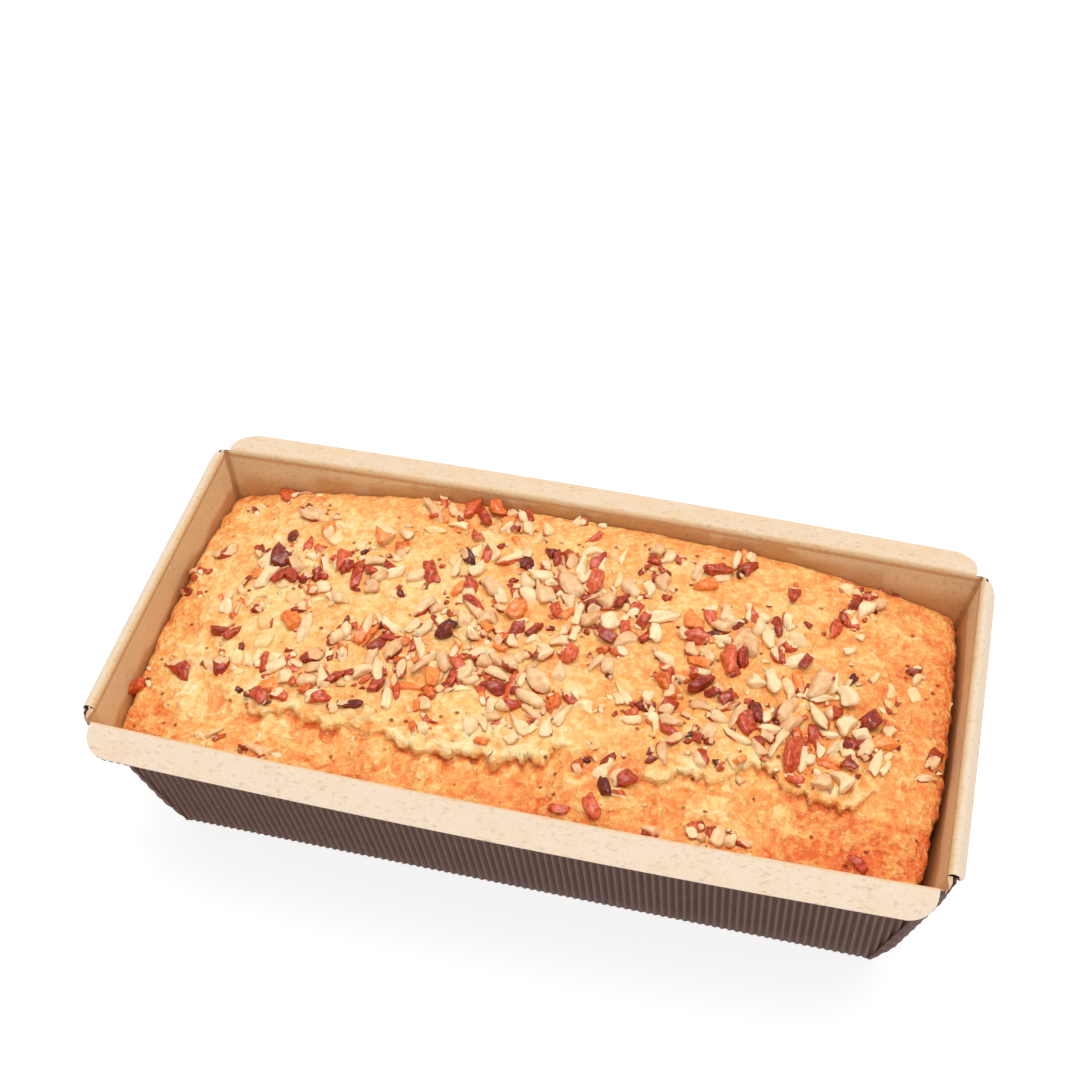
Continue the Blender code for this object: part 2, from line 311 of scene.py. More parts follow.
@dataclass(frozen=True)
class FlutedBoard(Finish):
    """Chocolate brown fluting paper: matt, dyed through, with painted shade in the flute valleys and a painted
    highlight on the crests.
    """

    name: str = "fluted_board"
    roughness: float = 0.7
    # Flute colours: the valley colour is painted shade, the two lighter ones painted highlight.
    valley: str = "#4E2C21"
    crest: str = "#623D30"
    crest_highlight: str = "#704B3B"

    def make(self) -> bpy.types.Material:
        """Build the material.

        Returns:
            Brown fluting paper that reads the layer "crest" of its mesh.
        """
        material, tree, shader = self.start()
        place = add_node(tree, "TexCoord").outputs["Object"]
        crest = add_node(tree, "Attribute", attribute_name="crest").outputs["Fac"]
        # The ramp paints shade in the flute valleys and highlights on the crests, over the mesh's real flutes.
        tone = add_node(
            tree,
            "ValToRGB",
            {"Fac": crest},
            stops=[(0.0, self.valley), (0.75, self.crest), (1.0, self.crest_highlight)],
        )
        # The dye is blotchy over a few millimetres.
        cloud = add_node(tree, "TexNoise", {"Vector": place, "Scale": per_mm(4), "Detail": 5.0})
        dyed = add_node(
            tree,
            "Mix",
            {0: 0.35, 6: tone.outputs["Color"], 7: cloud.outputs["Fac"]},
            data_type="RGBA",
            blend_type="SOFT_LIGHT",
        )
        tree.links.new(dyed.outputs[2], shader.inputs["Base Color"])
        # Paper grain is drawn 0.4 mm wide so that it shows.
        grain = add_node(tree, "TexNoise", {"Vector": place, "Scale": per_mm(0.4), "Detail": 3.0})
        bump = add_node(
            tree,
            "Bump",
            {"Height": grain.outputs["Fac"], "Strength": 0.3, "Distance": 0.1 * MM},
        )
        tree.links.new(bump.outputs[0], shader.inputs["Normal"])
        return material


@dataclass(frozen=True)
class BakedCrust(Finish):
    """Butter cake crust, baked: pale yellow where it rose last, golden orange where the oven coloured it; it also has a
    painted shadow under its lips, painted glints, and colour that is partly painted shade in its hollows, pits and
    seams.
    """

    name: str = "baked_crust"
    roughness: float = 0.48
    ior: float = 1.45
    # Colour of the pits: partly the crust's, partly painted shade.
    pit: str = "#B8481C"
    # Colour of the painted glints.
    fleck: str = "#FFDDB4"
    # Colour of the seams between lumps: partly the crust's, partly painted shade.
    seam: str = "#F27E3A"

    def make(self) -> bpy.types.Material:
        """Build the material.

        Returns:
            Crust that reads the layers "bake" and "seam" of its mesh.
        """
        material, tree, shader = self.start()
        place = add_node(tree, "TexCoord").outputs["Object"]
        bake_and_shade = add_node(tree, "Attribute", attribute_name="bake_and_shade").outputs["Fac"]
        seam = add_node(tree, "Attribute", attribute_name="seam").outputs["Fac"]
        # Browning wanders over 3 mm.
        patch = add_node(tree, "TexNoise", {"Vector": place, "Scale": per_mm(3.2), "Detail": 4.0})
        wander = add_node(tree, "Math", {0: patch.outputs["Fac"], 1: 0.5, 2: -0.25}, operation="MULTIPLY_ADD")
        # Crumb: grains of 1.5 mm that crowd into each other, and finer ones of 0.6 mm on them.
        warp = add_node(tree, "TexNoise", {"Vector": place, "Scale": per_mm(2.0), "Detail": 1.0})
        shift = add_node(
            tree, "VectorMath", {0: warp.outputs["Color"], 1: (1.6 * MM,) * 3}, operation="MULTIPLY"
        )
        moved = add_node(tree, "VectorMath", {0: place, 1: shift.outputs[0]}, operation="ADD")
        cells = add_node(
            tree,
            "TexVoronoi",
            {"Vector": moved.outputs[0], "Scale": per_mm(1.9), "Smoothness": 0.2, "Randomness": 1.0},
            feature="SMOOTH_F1",
        )
        grain = add_node(
            tree,
            "TexNoise",
            {"Vector": place, "Scale": per_mm(0.95), "Detail": 3.0, "Roughness": 0.6},
        )
        low = add_node(tree, "Math", {0: cells.outputs["Distance"], 1: 1.1, 2: -0.46}, operation="MULTIPLY_ADD")
        rough = add_node(tree, "Math", {0: grain.outputs["Fac"], 1: -1.2, 2: 0.6}, operation="MULTIPLY_ADD")
        valley = add_node(tree, "Math", {0: low.outputs[0], 1: rough.outputs[0]}, operation="ADD")
        # Grain shows strongest where the crust baked longest.
        much = add_node(
            tree,
            "MapRange",
            {"Value": bake_and_shade, "From Min": 0.2, "From Max": 0.8, "To Min": 0.6, "To Max": 1.15},
        )
        grained = add_node(tree, "Math", {0: valley.outputs[0], 1: much.outputs["Result"]}, operation="MULTIPLY")
        aged = add_node(tree, "Math", {0: bake_and_shade, 1: wander.outputs[0]}, operation="ADD")
        # Lower grain is browner: partly the crust's colour, partly painted shade in the hollows.
        browned_and_shaded = add_node(
            tree, "Math", {0: grained.outputs[0], 1: 0.5, 2: aged.outputs[0]}, operation="MULTIPLY_ADD", use_clamp=True
        )
        tone = add_node(
            tree,
            "ValToRGB",
            {"Fac": browned_and_shaded.outputs[0]},
            stops=[
                (0.0, "#FFE6AE"),
                (0.28, "#FFCE84"),
                (0.52, "#FFB25F"),
                (0.76, "#FF9A50"),
                (1.0, "#F27638"),
            ],
        )
        # The seams between lumps are darker orange: partly the crust's colour, partly painted shade in the crevices.
        seams = add_node(tree, "Math", {0: seam, 1: 0.55}, operation="MULTIPLY")
        dark = add_node(
            tree,
            "Mix",
            {0: seams.outputs[0], 6: tone.outputs["Color"], 7: linear(self.seam)},
            data_type="RGBA",
        )
        # Painted highlights: pale flecks about 0.3 mm wide stand in for glints on tiny burst bubbles.
        glint_cells = add_node(tree, "TexVoronoi", {"Vector": moved.outputs[0], "Scale": per_mm(0.95), "Randomness": 1.0})
        fleck = add_node(
            tree,
            "MapRange",
            {"Value": glint_cells.outputs["Distance"], "From Min": 0.4, "From Max": 0.12, "To Max": 0.6},
        )
        kind = add_node(tree, "SeparateColor", {"Color": glint_cells.outputs["Color"]})
        few = add_node(tree, "Math", {0: kind.outputs[1], 1: 0.55}, operation="GREATER_THAN")
        flecks = add_node(tree, "Math", {0: fleck.outputs["Result"], 1: few.outputs[0]}, operation="MULTIPLY")
        glinted = add_node(
            tree,
            "Mix",
            {0: flecks.outputs[0], 6: dark.outputs[2], 7: linear(self.fleck)},
            data_type="RGBA",
        )
        # Burst bubbles leave soft pits about 1 mm wide, a few millimetres apart, painted dark red-brown: partly the
        # crust's colour, partly painted shade in the pits.
        bubbles = add_node(tree, "TexVoronoi", {"Vector": place, "Scale": per_mm(4.2), "Randomness": 1.0})
        pits = add_node(
            tree,
            "MapRange",
            {"Value": bubbles.outputs["Distance"], "From Min": 0.17, "From Max": 0.06},
        )
        pick = add_node(tree, "SeparateColor", {"Color": bubbles.outputs["Color"]})
        some = add_node(tree, "Math", {0: pick.outputs[0], 1: 0.62}, operation="GREATER_THAN")
        holes = add_node(tree, "Math", {0: pits.outputs["Result"], 1: some.outputs[0]}, operation="MULTIPLY")
        pitted = add_node(
            tree,
            "Mix",
            {0: holes.outputs[0], 6: glinted.outputs[2], 7: linear(self.pit)},
            data_type="RGBA",
        )
        tree.links.new(pitted.outputs[2], shader.inputs["Base Color"])
        deep = add_node(tree, "Math", {0: grained.outputs[0], 1: holes.outputs[0]}, operation="ADD")
        bump = add_node(
            tree,
            "Bump",
            {"Height": deep.outputs[0], "Strength": 0.9, "Distance": 0.95 * MM},
            invert=True,
        )
        tree.links.new(bump.outputs[0], shader.inputs["Normal"])
        # Butter on the crust glints where it lies smooth.
        gloss = add_node(
            tree,
            "MapRange",
            {"Value": patch.outputs["Fac"], "From Min": 0.35, "From Max": 0.65, "To Min": 0.3, "To Max": 0.5},
        )
        tree.links.new(gloss.outputs["Result"], shader.inputs["Roughness"])
        shader.inputs["Subsurface Weight"].default_value = 0.22
        shader.inputs["Subsurface Radius"].default_value = (1.0, 0.45, 0.2)
        shader.inputs["Subsurface Scale"].default_value = 0.9 * MM
        return material


@dataclass(frozen=True)
class PecanKernel(Finish):
    """Chopped pecan kernel: oily cream flesh where it broke, glossy roasted skin elsewhere."""

    name: str = "pecan_kernel"
    roughness: float = 0.42
    ior: float = 1.47
    flesh: tuple[str, str, str] = ("#FBE2B6", "#F4D09E", "#E0A874")
    skin: tuple[str, str, str] = ("#E2683A", "#BC4220", "#82240F")
    rind: str = "#B4642F"
    glow: float = 0.3

    @classmethod
    def of(cls, kind: "ChipKind") -> "PecanKernel":
        """Choose the roast of a kind of chip.

        Args:
            kind: Kind of chip.

        Returns:
            The finish of that kind.
        """
        name = f"pecan_{kind.value}"
        if kind is ChipKind.AMBER:
            return cls(name=name, skin=("#F99A4C", "#EE7830", "#BC4C1A"), glow=0.05)
        if kind is ChipKind.DARK:
            return cls(name=name, skin=("#A8442A", "#762415", "#48120B"), glow=0.03)
        if kind is ChipKind.SUNK:
            return cls(name=name, flesh=("#FBE4B2", "#F8D296", "#F0BC78"), skin=("#E08E55", "#CC7040", "#AE5430"))
        return cls(name=name, glow=0.06 if kind is ChipKind.SKIN else 0.3)

    def make(self) -> bpy.types.Material:
        """Build the material.

        Returns:
            Kernel that reads the layers "skin" and "tint" of its mesh.
        """
        material, tree, shader = self.start()
        place = add_node(tree, "TexCoord").outputs["Object"]
        skin = add_node(tree, "Attribute", attribute_name="skin").outputs["Fac"]
        tint = add_node(tree, "Attribute", attribute_name="tint").outputs["Fac"]
        # Flesh mottles over 2 mm, skin over 1.1 mm.
        cloud = add_node(tree, "TexNoise", {"Vector": place, "Scale": per_mm(2.0), "Detail": 3.0})
        streak = add_node(tree, "TexNoise", {"Vector": place, "Scale": per_mm(1.1), "Detail": 4.0})
        mottle = add_node(tree, "Math", {0: cloud.outputs["Fac"], 1: 1.1, 2: -0.4}, operation="MULTIPLY_ADD")
        pale = add_node(tree, "Math", {0: tint, 1: 0.75, 2: mottle.outputs[0]}, operation="MULTIPLY_ADD")
        flesh = add_node(
            tree,
            "ValToRGB",
            {"Fac": pale.outputs[0]},
            stops=[(0.0, self.flesh[0]), (0.5, self.flesh[1]), (1.0, self.flesh[2])],
        )
        veins = add_node(tree, "Math", {0: streak.outputs["Fac"], 1: 2.2, 2: -1.0}, operation="MULTIPLY_ADD")
        roast = add_node(tree, "Math", {0: tint, 1: 0.8, 2: veins.outputs[0]}, operation="MULTIPLY_ADD")
        coat = add_node(
            tree,
            "ValToRGB",
            {"Fac": roast.outputs[0]},
            stops=[(0.0, self.skin[0]), (0.5, self.skin[1]), (1.0, self.skin[2])],
        )
        edge = add_node(tree, "MapRange", {"Value": skin, "From Min": 0.4, "From Max": 0.6})
        both = add_node(
            tree,
            "Mix",
            {0: edge.outputs["Result"], 6: flesh.outputs["Color"], 7: coat.outputs["Color"]},
            data_type="RGBA",
        )
        # A thin brown line runs where the skin ends on the flesh.
        off = add_node(tree, "Math", {0: skin, 1: 0.42}, operation="SUBTRACT")
        far = add_node(tree, "Math", {0: off.outputs[0]}, operation="ABSOLUTE")
        line = add_node(tree, "MapRange", {"Value": far.outputs[0], "From Min": 0.16, "From Max": 0.02, "To Max": 0.75})
        lined = add_node(
            tree,
            "Mix",
            {0: line.outputs["Result"], 6: both.outputs[2], 7: linear(self.rind)},
            data_type="RGBA",
        )
        tree.links.new(lined.outputs[2], shader.inputs["Base Color"])
        bump = add_node(
            tree,
            "Bump",
            {"Height": streak.outputs["Fac"], "Strength": 0.45, "Distance": 0.2 * MM},
        )
        tree.links.new(bump.outputs[0], shader.inputs["Normal"])
        # Skin keeps the kernel's oil and shines more than the flesh.
        gloss = add_node(tree, "MapRange", {"Value": edge.outputs["Result"], "To Min": 0.34, "To Max": 0.2})
        tree.links.new(gloss.outputs["Result"], shader.inputs["Roughness"])
        shader.inputs["Subsurface Weight"].default_value = self.glow
        shader.inputs["Subsurface Radius"].default_value = (1.0, 0.5, 0.25)
        shader.inputs["Subsurface Scale"].default_value = 1.0 * MM
        return material


@dataclass
class Net:
    """A net of points, rows by columns, with a value at each point for every named layer."""

    points: Array
    layers: dict[str, Array] = field(default_factory=dict)
    flip: bool = False

    def faces(self, start: int) -> Array:
        """Corners of the net's quads when its points are numbered from start."""
        rows, columns = self.points.shape[:2]
        first = start + np.arange(rows - 1)[:, None] * columns + np.arange(columns - 1)[None, :]
        quads = np.stack([first, first + 1, first + columns + 1, first + columns], -1).reshape(-1, 4)
        return quads[:, ::-1] if self.flip else quads


def new_piece(
    name: str,
    points: Array,
    faces: Iterable[Sequence[int]],
    layers: Mapping[str, Array],
    material: bpy.types.Material,
    weld: float = 0.0,
    sharp: float = 180.0,
) -> bpy.types.Object:
    """Make a mesh object from points and faces.

    Args:
        name: Name of the piece.
        points: Positions, one row each.
        faces: Corner numbers of each face.
        layers: A value for each point, by layer name.
        material: What the piece is made of.
        weld: Distance within which points become one, or 0 to keep them apart.
        sharp: Angle in degrees above which an edge stays sharp.

    Returns:
        The new object, linked to the scene.
    """
    mesh = bpy.data.meshes.new(name)
    mesh.from_pydata(points.tolist(), [], [list(face) for face in faces])
    for layer, values in layers.items():
        store = mesh.attributes.new(layer, "FLOAT", "POINT")
        store.data.foreach_set("value", np.asarray(values, dtype=np.float32).ravel())
    if weld:
        bm = bmesh.new()
        bm.from_mesh(mesh)
        bmesh.ops.remove_doubles(bm, verts=bm.verts, dist=weld)
        bmesh.ops.dissolve_degenerate(bm, edges=bm.edges, dist=weld)
        bm.to_mesh(mesh)
        bm.free()
    mesh.materials.append(material)
    mesh.shade_smooth()
    if sharp < 180:
        mesh.set_sharp_from_angle(angle=math.radians(sharp))
    piece = bpy.data.objects.new(name, mesh)
    bpy.context.scene.collection.objects.link(piece)
    return piece


def piece_from_nets(
    name: str, nets: Sequence[Net], material: bpy.types.Material, weld: float = 0.00001
) -> bpy.types.Object:
    """Join nets into one mesh object.

    Args:
        name: Name of the piece.
        nets: Nets that all have the same layers.
        material: What the piece is made of.
        weld: Distance within which points become one.

    Returns:
        The new object.
    """
    starts = np.cumsum([0] + [net.points.shape[0] * net.points.shape[1] for net in nets])
    points = np.concatenate([net.points.reshape(-1, 3) for net in nets])
    faces = np.concatenate([net.faces(int(start)) for net, start in zip(nets, starts)])
    layers = {}
    for layer in nets[0].layers:
        layers[layer] = np.concatenate([net.layers[layer].ravel() for net in nets])
    return new_piece(name, points, faces, layers, material, weld, sharp=50)


@dataclass(frozen=True)
class Crossing:
    """A line along a wall where a section crosses it.

    z and shift say where the wall's plan is taken and how far it is moved out. out and up go on
    from there over the fold, and flange is the share of the flange's width. away is the
    direction of the board's outside, and run the distance along the sheet from the base.
    """

    z: float
    shift: float
    out: float
    up: float
    away: tuple[float, float]
    run: float
    flange: float
    squash: float


@dataclass(frozen=True)
class CaseShape:
    """Sizes of the folded case, the same as the solid's, and where its sheet lies."""

    base_length: float = 201.2 * MM
    base_width: float = 77.8 * MM
    rim_length: float = 228.0 * MM
    rim_width: float = 107.6 * MM
    height: float = 62.5 * MM
    board: float = 1.4 * MM
    fold_radius: float = 1.5 * MM
    base_radius: float = 1.3 * MM
    bulge_long: float = 1.7 * MM
    bulge_short: float = 2.2 * MM
    long_flange: float = 8.2 * MM
    long_tilt: float = math.radians(14.5)
    long_end: float = 7.4 * MM
    short_flange: float = 3.4 * MM
    short_tilt: float = math.radians(61.0)
    short_end: float = 3.0 * MM
    cut_base: float = 1.2 * MM
    cut_x: float = 1.4 * MM
    cut_front: float = 4.2 * MM
    cut_back: float = 1.5 * MM
    pitch: float = 2.08 * MM
    foot: float = 7.0 * MM
    ear_reach: float = 36.0 * MM
    ear_thick: float = 2.0 * MM
    ear_top: float = 58.3 * MM
    ear_bottom: float = 4.0 * MM
    ear_round: float = 0.8 * MM
    ear_lean: float = math.radians(25.5)

    @property
    def slope_x(self) -> float:
        """How far a short wall leans out for each metre of height."""
        return (self.rim_length - self.base_length) / 2 / self.height

    @property
    def slope_y(self) -> float:
        """How far a long wall leans out for each metre of height."""
        return (self.rim_width - self.base_width) / 2 / self.height

    def half_x(self, z: Array | float) -> Array | float:
        """Half length of the tray's inner face at height z."""
        return self.base_length / 2 + self.slope_x * z - self.board * math.hypot(1, self.slope_x)

    def half_y(self, z: Array | float) -> Array | float:
        """Half width of the tray's inner face at height z."""
        return self.base_width / 2 + self.slope_y * z - self.board * math.hypot(1, self.slope_y)

    def cut(self, z: Array | float, at_rim: float) -> Array | float:
        """How much is cut off a corner at height z."""
        return self.cut_base + (at_rim - self.cut_base) * z / self.height

    def cut_y(self, face: int) -> float:
        """How much is cut off along Y at the rim, in front for a face of -1."""
        return self.cut_front if face < 0 else self.cut_back

    def long_bulge(self, share: Array, z: Array | float) -> Array:
        """How far a long wall bows out at a share of its half length."""
        return self.bulge_long * (1 - share * share) * z / self.height

    def short_bulge(self, share: Array, z: Array | float) -> Array:
        """How far a short wall bows out at a share of its half width."""
        t = np.minimum(z / self.height, 1)
        return self.bulge_short * (1 - share * share) * 4 * t * (1 - t)

    def top(self) -> float:
        """Height at which the walls turn into their folds."""
        return self.height - self.fold_radius * (1 - math.sin(math.atan(self.slope_x)))

    def section(self, slope: float, tilt: float, width: float, step: float) -> list[Crossing]:
        """Cross a wall from the base's edge to the flange's edge.

        Args:
            slope: How far the wall leans out for each metre of height.
            tilt: Slope of the flange below horizontal.
            width: Flat width of the flange.
            step: Largest distance between two crossings.

        Returns:
            The crossings, lowest first.
        """
        lean = math.atan(slope)
        lines: list[Crossing] = []
        run = 0.0
        for turn in np.linspace(0, math.pi / 2, 5):
            z = self.board + self.base_radius * (1 - math.cos(turn))
            shift = -self.base_radius * (1 - math.sin(turn))
            run = self.base_radius * turn
            lines.append(Crossing(z, shift, 0, 0, (math.sin(turn), -math.cos(turn)), run, 0, 1))
        foot, top = lines[-1].z, self.top()
        tall = (top - foot) * math.hypot(1, slope)
        count = max(12, math.ceil(tall / step))
        marks = set(np.linspace(0, 1, count + 1)[1:])
        marks |= {1 - d * MM / tall for d in (0.35, 0.7, 1.05, 1.4, 1.9, 2.6)}
        for share in sorted(marks):
            ease = min(share * 6, 1)
            away = (math.cos(lean * ease), -math.sin(lean * ease))
            z = foot + (top - foot) * share
            lines.append(Crossing(z, 0, 0, 0, away, run + tall * share, 0, 1))
        run += tall
        radius = self.fold_radius
        first = lean - math.pi / 2
        count = max(8, math.ceil(radius * (tilt - first) / step))
        for turn in np.linspace(first, tilt, count + 1)[1:]:
            out = radius * (math.cos(lean) + math.sin(turn))
            up = radius * (math.cos(turn) - math.sin(lean))
            away = (-math.sin(turn), -math.cos(turn))
            line = run + radius * (turn - first)
            lines.append(Crossing(top, 0, out, up, away, line, 0, 0.72))
        run = lines[-1].run
        out, up = lines[-1].out, lines[-1].up
        for share in np.linspace(0, 1, max(6, math.ceil(width / step)) + 1)[1:]:
            reach = width * share
            lines.append(
                Crossing(
                    top,
                    0,
                    out + reach * math.cos(tilt),
                    up - reach * math.sin(tilt),
                    (-math.sin(tilt), -math.cos(tilt)),
                    run + reach,
                    share,
                    0.8,
                )
            )
        return lines

    def long_net(self, face: int, outside: bool) -> Net:
        """Net of a long wall with its fold and flange.

        Args:
            face: 1 at the back, -1 at the front.
            outside: True for the fluted sheet, False for the liner.

        Returns:
            Net whose columns run up the wall, along the flutes.
        """
        lines = self.section(self.slope_y, self.long_tilt, self.long_flange, 5.5 * MM)
        reach = float(self.half_x(self.top()))
        x = np.arange(-reach, reach, self.pitch / 8)
        ends = self.long_flange * 0 + self.long_end
        rows, crests, shades = [], [], []
        last = lines[-1]
        extra = [(last, 0.3 * MM)] if not outside else [(last, None)]
        for line, fixed in [(line, 0.0) for line in lines] + extra:
            run = self.half_x(line.z) + line.shift - self.cut(line.z, self.cut_x)
            place = np.clip(x, -run, run)
            share = place / run
            y = self.half_y(line.z) + line.shift + self.long_bulge(share, line.z)
            phase = np.cos(2 * math.pi * x / self.pitch)
            if outside:
                pressed = 0.3 + 0.7 * smooth(line.run / self.foot)
                depth = self.board * line.squash * (0.66 + 0.34 * phase * pressed)
                if fixed is None:
                    depth = np.full_like(x, 0.3 * MM)
            else:
                depth = fixed + 0.012 * MM * line.squash * phase
            out, up = line.out, line.up
            if line.flange:
                gap = np.clip(ends - (run - np.abs(place)), 0, ends)
                lost = ends - np.sqrt(np.maximum(ends**2 - gap**2, 0))
                part = 1 - lost / self.long_flange
                out = line.out - line.flange * self.long_flange * (1 - part) * math.cos(self.long_tilt)
                up = line.up + line.flange * self.long_flange * (1 - part) * math.sin(self.long_tilt)
            row = np.stack(
                [place, face * (y + out + depth * line.away[0]), line.z + up + depth * line.away[1]], -1
            )
            rows.append(row)
            # Flute colour follows the flute: painted shade in the valleys, painted highlight on the crests; the extra
            # edge row takes the valley colour.
            crests.append(0.5 + 0.5 * phase if fixed is not None else np.zeros_like(x))
            shades.append(self.tone(row, line))
        layers = {"crest": np.array(crests)} if outside else self.layers(shades)
        return Net(np.array(rows), layers, flip=(face > 0) == outside)

    def tone(self, row: Array, line: Crossing) -> tuple[Array, Array, Array]:
        """How tan and soaked the liner is along a crossing, and where a painted line of shade runs below its fold.

        Args:
            row: Points along the crossing.
            line: The crossing.

        Returns:
            Values for the layers "shade", "soak" and "crease".
        """
        x, y = row[:, 0], row[:, 1]
        below = self.top() - line.z
        # Walls are tan and the flange pale, and the fold passes from one to the other: partly the paper's tone, partly
        # painted shade in the tray and a painted highlight along the fold's top.
        shade = np.full(len(x), 1.0 if line.out == 0 else 0.0)
        if line.out and not line.flange:
            shade[:] = min(max(1.25 - line.out / self.fold_radius, 0.0), 1.0)
        # The flange at the back is painted more tan than the front one.
        shade = np.maximum(shade, np.where((y > 52 * MM) & (line.out > 0), 0.42, 0.0))
        u = np.clip(np.abs(x) / (self.rim_length / 2), 0, 1)
        touch = 45.7 * MM + 10.4 * MM * (1 - u**2.6)
        edge = touch + (4.6 + 1.6 * drift(x, y, 9, 5) + 0.7 * drift(x, y, 3, 6)) * MM
        soak_and_corner_shade = smooth((edge - line.z) / (2.2 * MM) + 0.5) * 0.85 if line.out == 0 else 0 * x
        # A painted line of shade lies 0.2 to 1.2 mm below the top of the wall, under the fold.
        shade_below_fold = np.full(len(x), 1.0 if line.out == 0 and 0.2 * MM < below < 1.2 * MM else 0.0)
        return shade, soak_and_corner_shade, shade_below_fold

    @staticmethod
    def layers(shades: Sequence[tuple[Array, Array, Array]]) -> dict[str, Array]:
        """Stack the values of each crossing into layers."""
        names = ("shade", "soak_and_corner_shade", "shade_below_fold")
        return {name: np.array([values[k] for values in shades]) for k, name in enumerate(names)}

    def short_net(self, face: int, outside: bool) -> Net:
        """Net of a short wall with its fold and flange.

        Args:
            face: 1 at the right, -1 at the left.
            outside: True for the fluted sheet, False for the liner.

        Returns:
            Net whose rows run along the wall, along the flutes.
        """
        lines = self.section(self.slope_x, self.short_tilt, self.short_flange, self.pitch / 8)
        along = np.concatenate(
            [np.linspace(-1, -0.9, 12), np.linspace(-0.88, 0.88, 40), np.linspace(0.9, 1, 12)]
        )
        rows, crests, shades = [], [], []
        last = lines[-1]
        extra = [(last, 0.3 * MM)] if not outside else [(last, None)]
        for line, fixed in [(line, 0.0) for line in lines] + extra:
            wide = self.half_y(line.z) + line.shift
            front = wide - self.cut(line.z, self.cut_front)
            back = wide - self.cut(line.z, self.cut_back)
            y = (back - front + along * (back + front)) / 2
            x = self.half_x(line.z) + line.shift + self.short_bulge(along, line.z)
            phase = math.cos(2 * math.pi * line.run / self.pitch)
            if outside:
                depth = 0.3 * MM if fixed is None else self.board * line.squash * (0.66 + 0.34 * phase)
            else:
                depth = fixed + 0.012 * MM * line.squash * phase
            out, up = line.out, line.up
            if line.flange:
                gap = np.clip(self.short_end - (1 - np.abs(along)) * (back + front) / 2, 0, self.short_end)
                lost = self.short_end - np.sqrt(np.maximum(self.short_end**2 - gap**2, 0))
                less = line.flange * lost
                out = line.out - less * math.cos(self.short_tilt)
                up = line.up + less * math.sin(self.short_tilt)
            row = np.stack(
                [face * (x + out + depth * line.away[0]), y, line.z + up + depth * line.away[1] + 0 * y], -1
            )
            rows.append(row)
            crests.append(np.full(len(y), 0.5 + 0.5 * phase if fixed is not None else 0.0))
            shades.append(self.tone(row, line))
        layers = {"crest": np.array(crests)} if outside else self.layers(shades)
        return Net(np.array(rows), layers, flip=(face < 0) == outside)

    def base_net(self, outside: bool) -> Net:
        """Net of the flat base, with its flutes across it for the outside."""
        half_x = float(self.half_x(self.board)) - self.base_radius
        half_y = float(self.half_y(self.board)) - self.base_radius
        x = np.arange(-half_x, half_x + self.pitch / 16, self.pitch / 8)
        phase = np.cos(2 * math.pi * x / self.pitch)
        depth = self.board * (0.66 + 0.34 * phase) if outside else 0.012 * MM * phase
        rows = [np.stack([x, np.full_like(x, y), self.board - depth], -1) for y in (-half_y, half_y)]
        points = np.array(rows)
        if outside:
            return Net(points, {"crest": np.array([0.5 + 0.5 * phase] * 2)}, flip=True)
        flat = np.ones(points.shape[:2])
        return Net(points, {"shade": flat, "soak_and_corner_shade": flat, "shade_below_fold": 0 * flat})


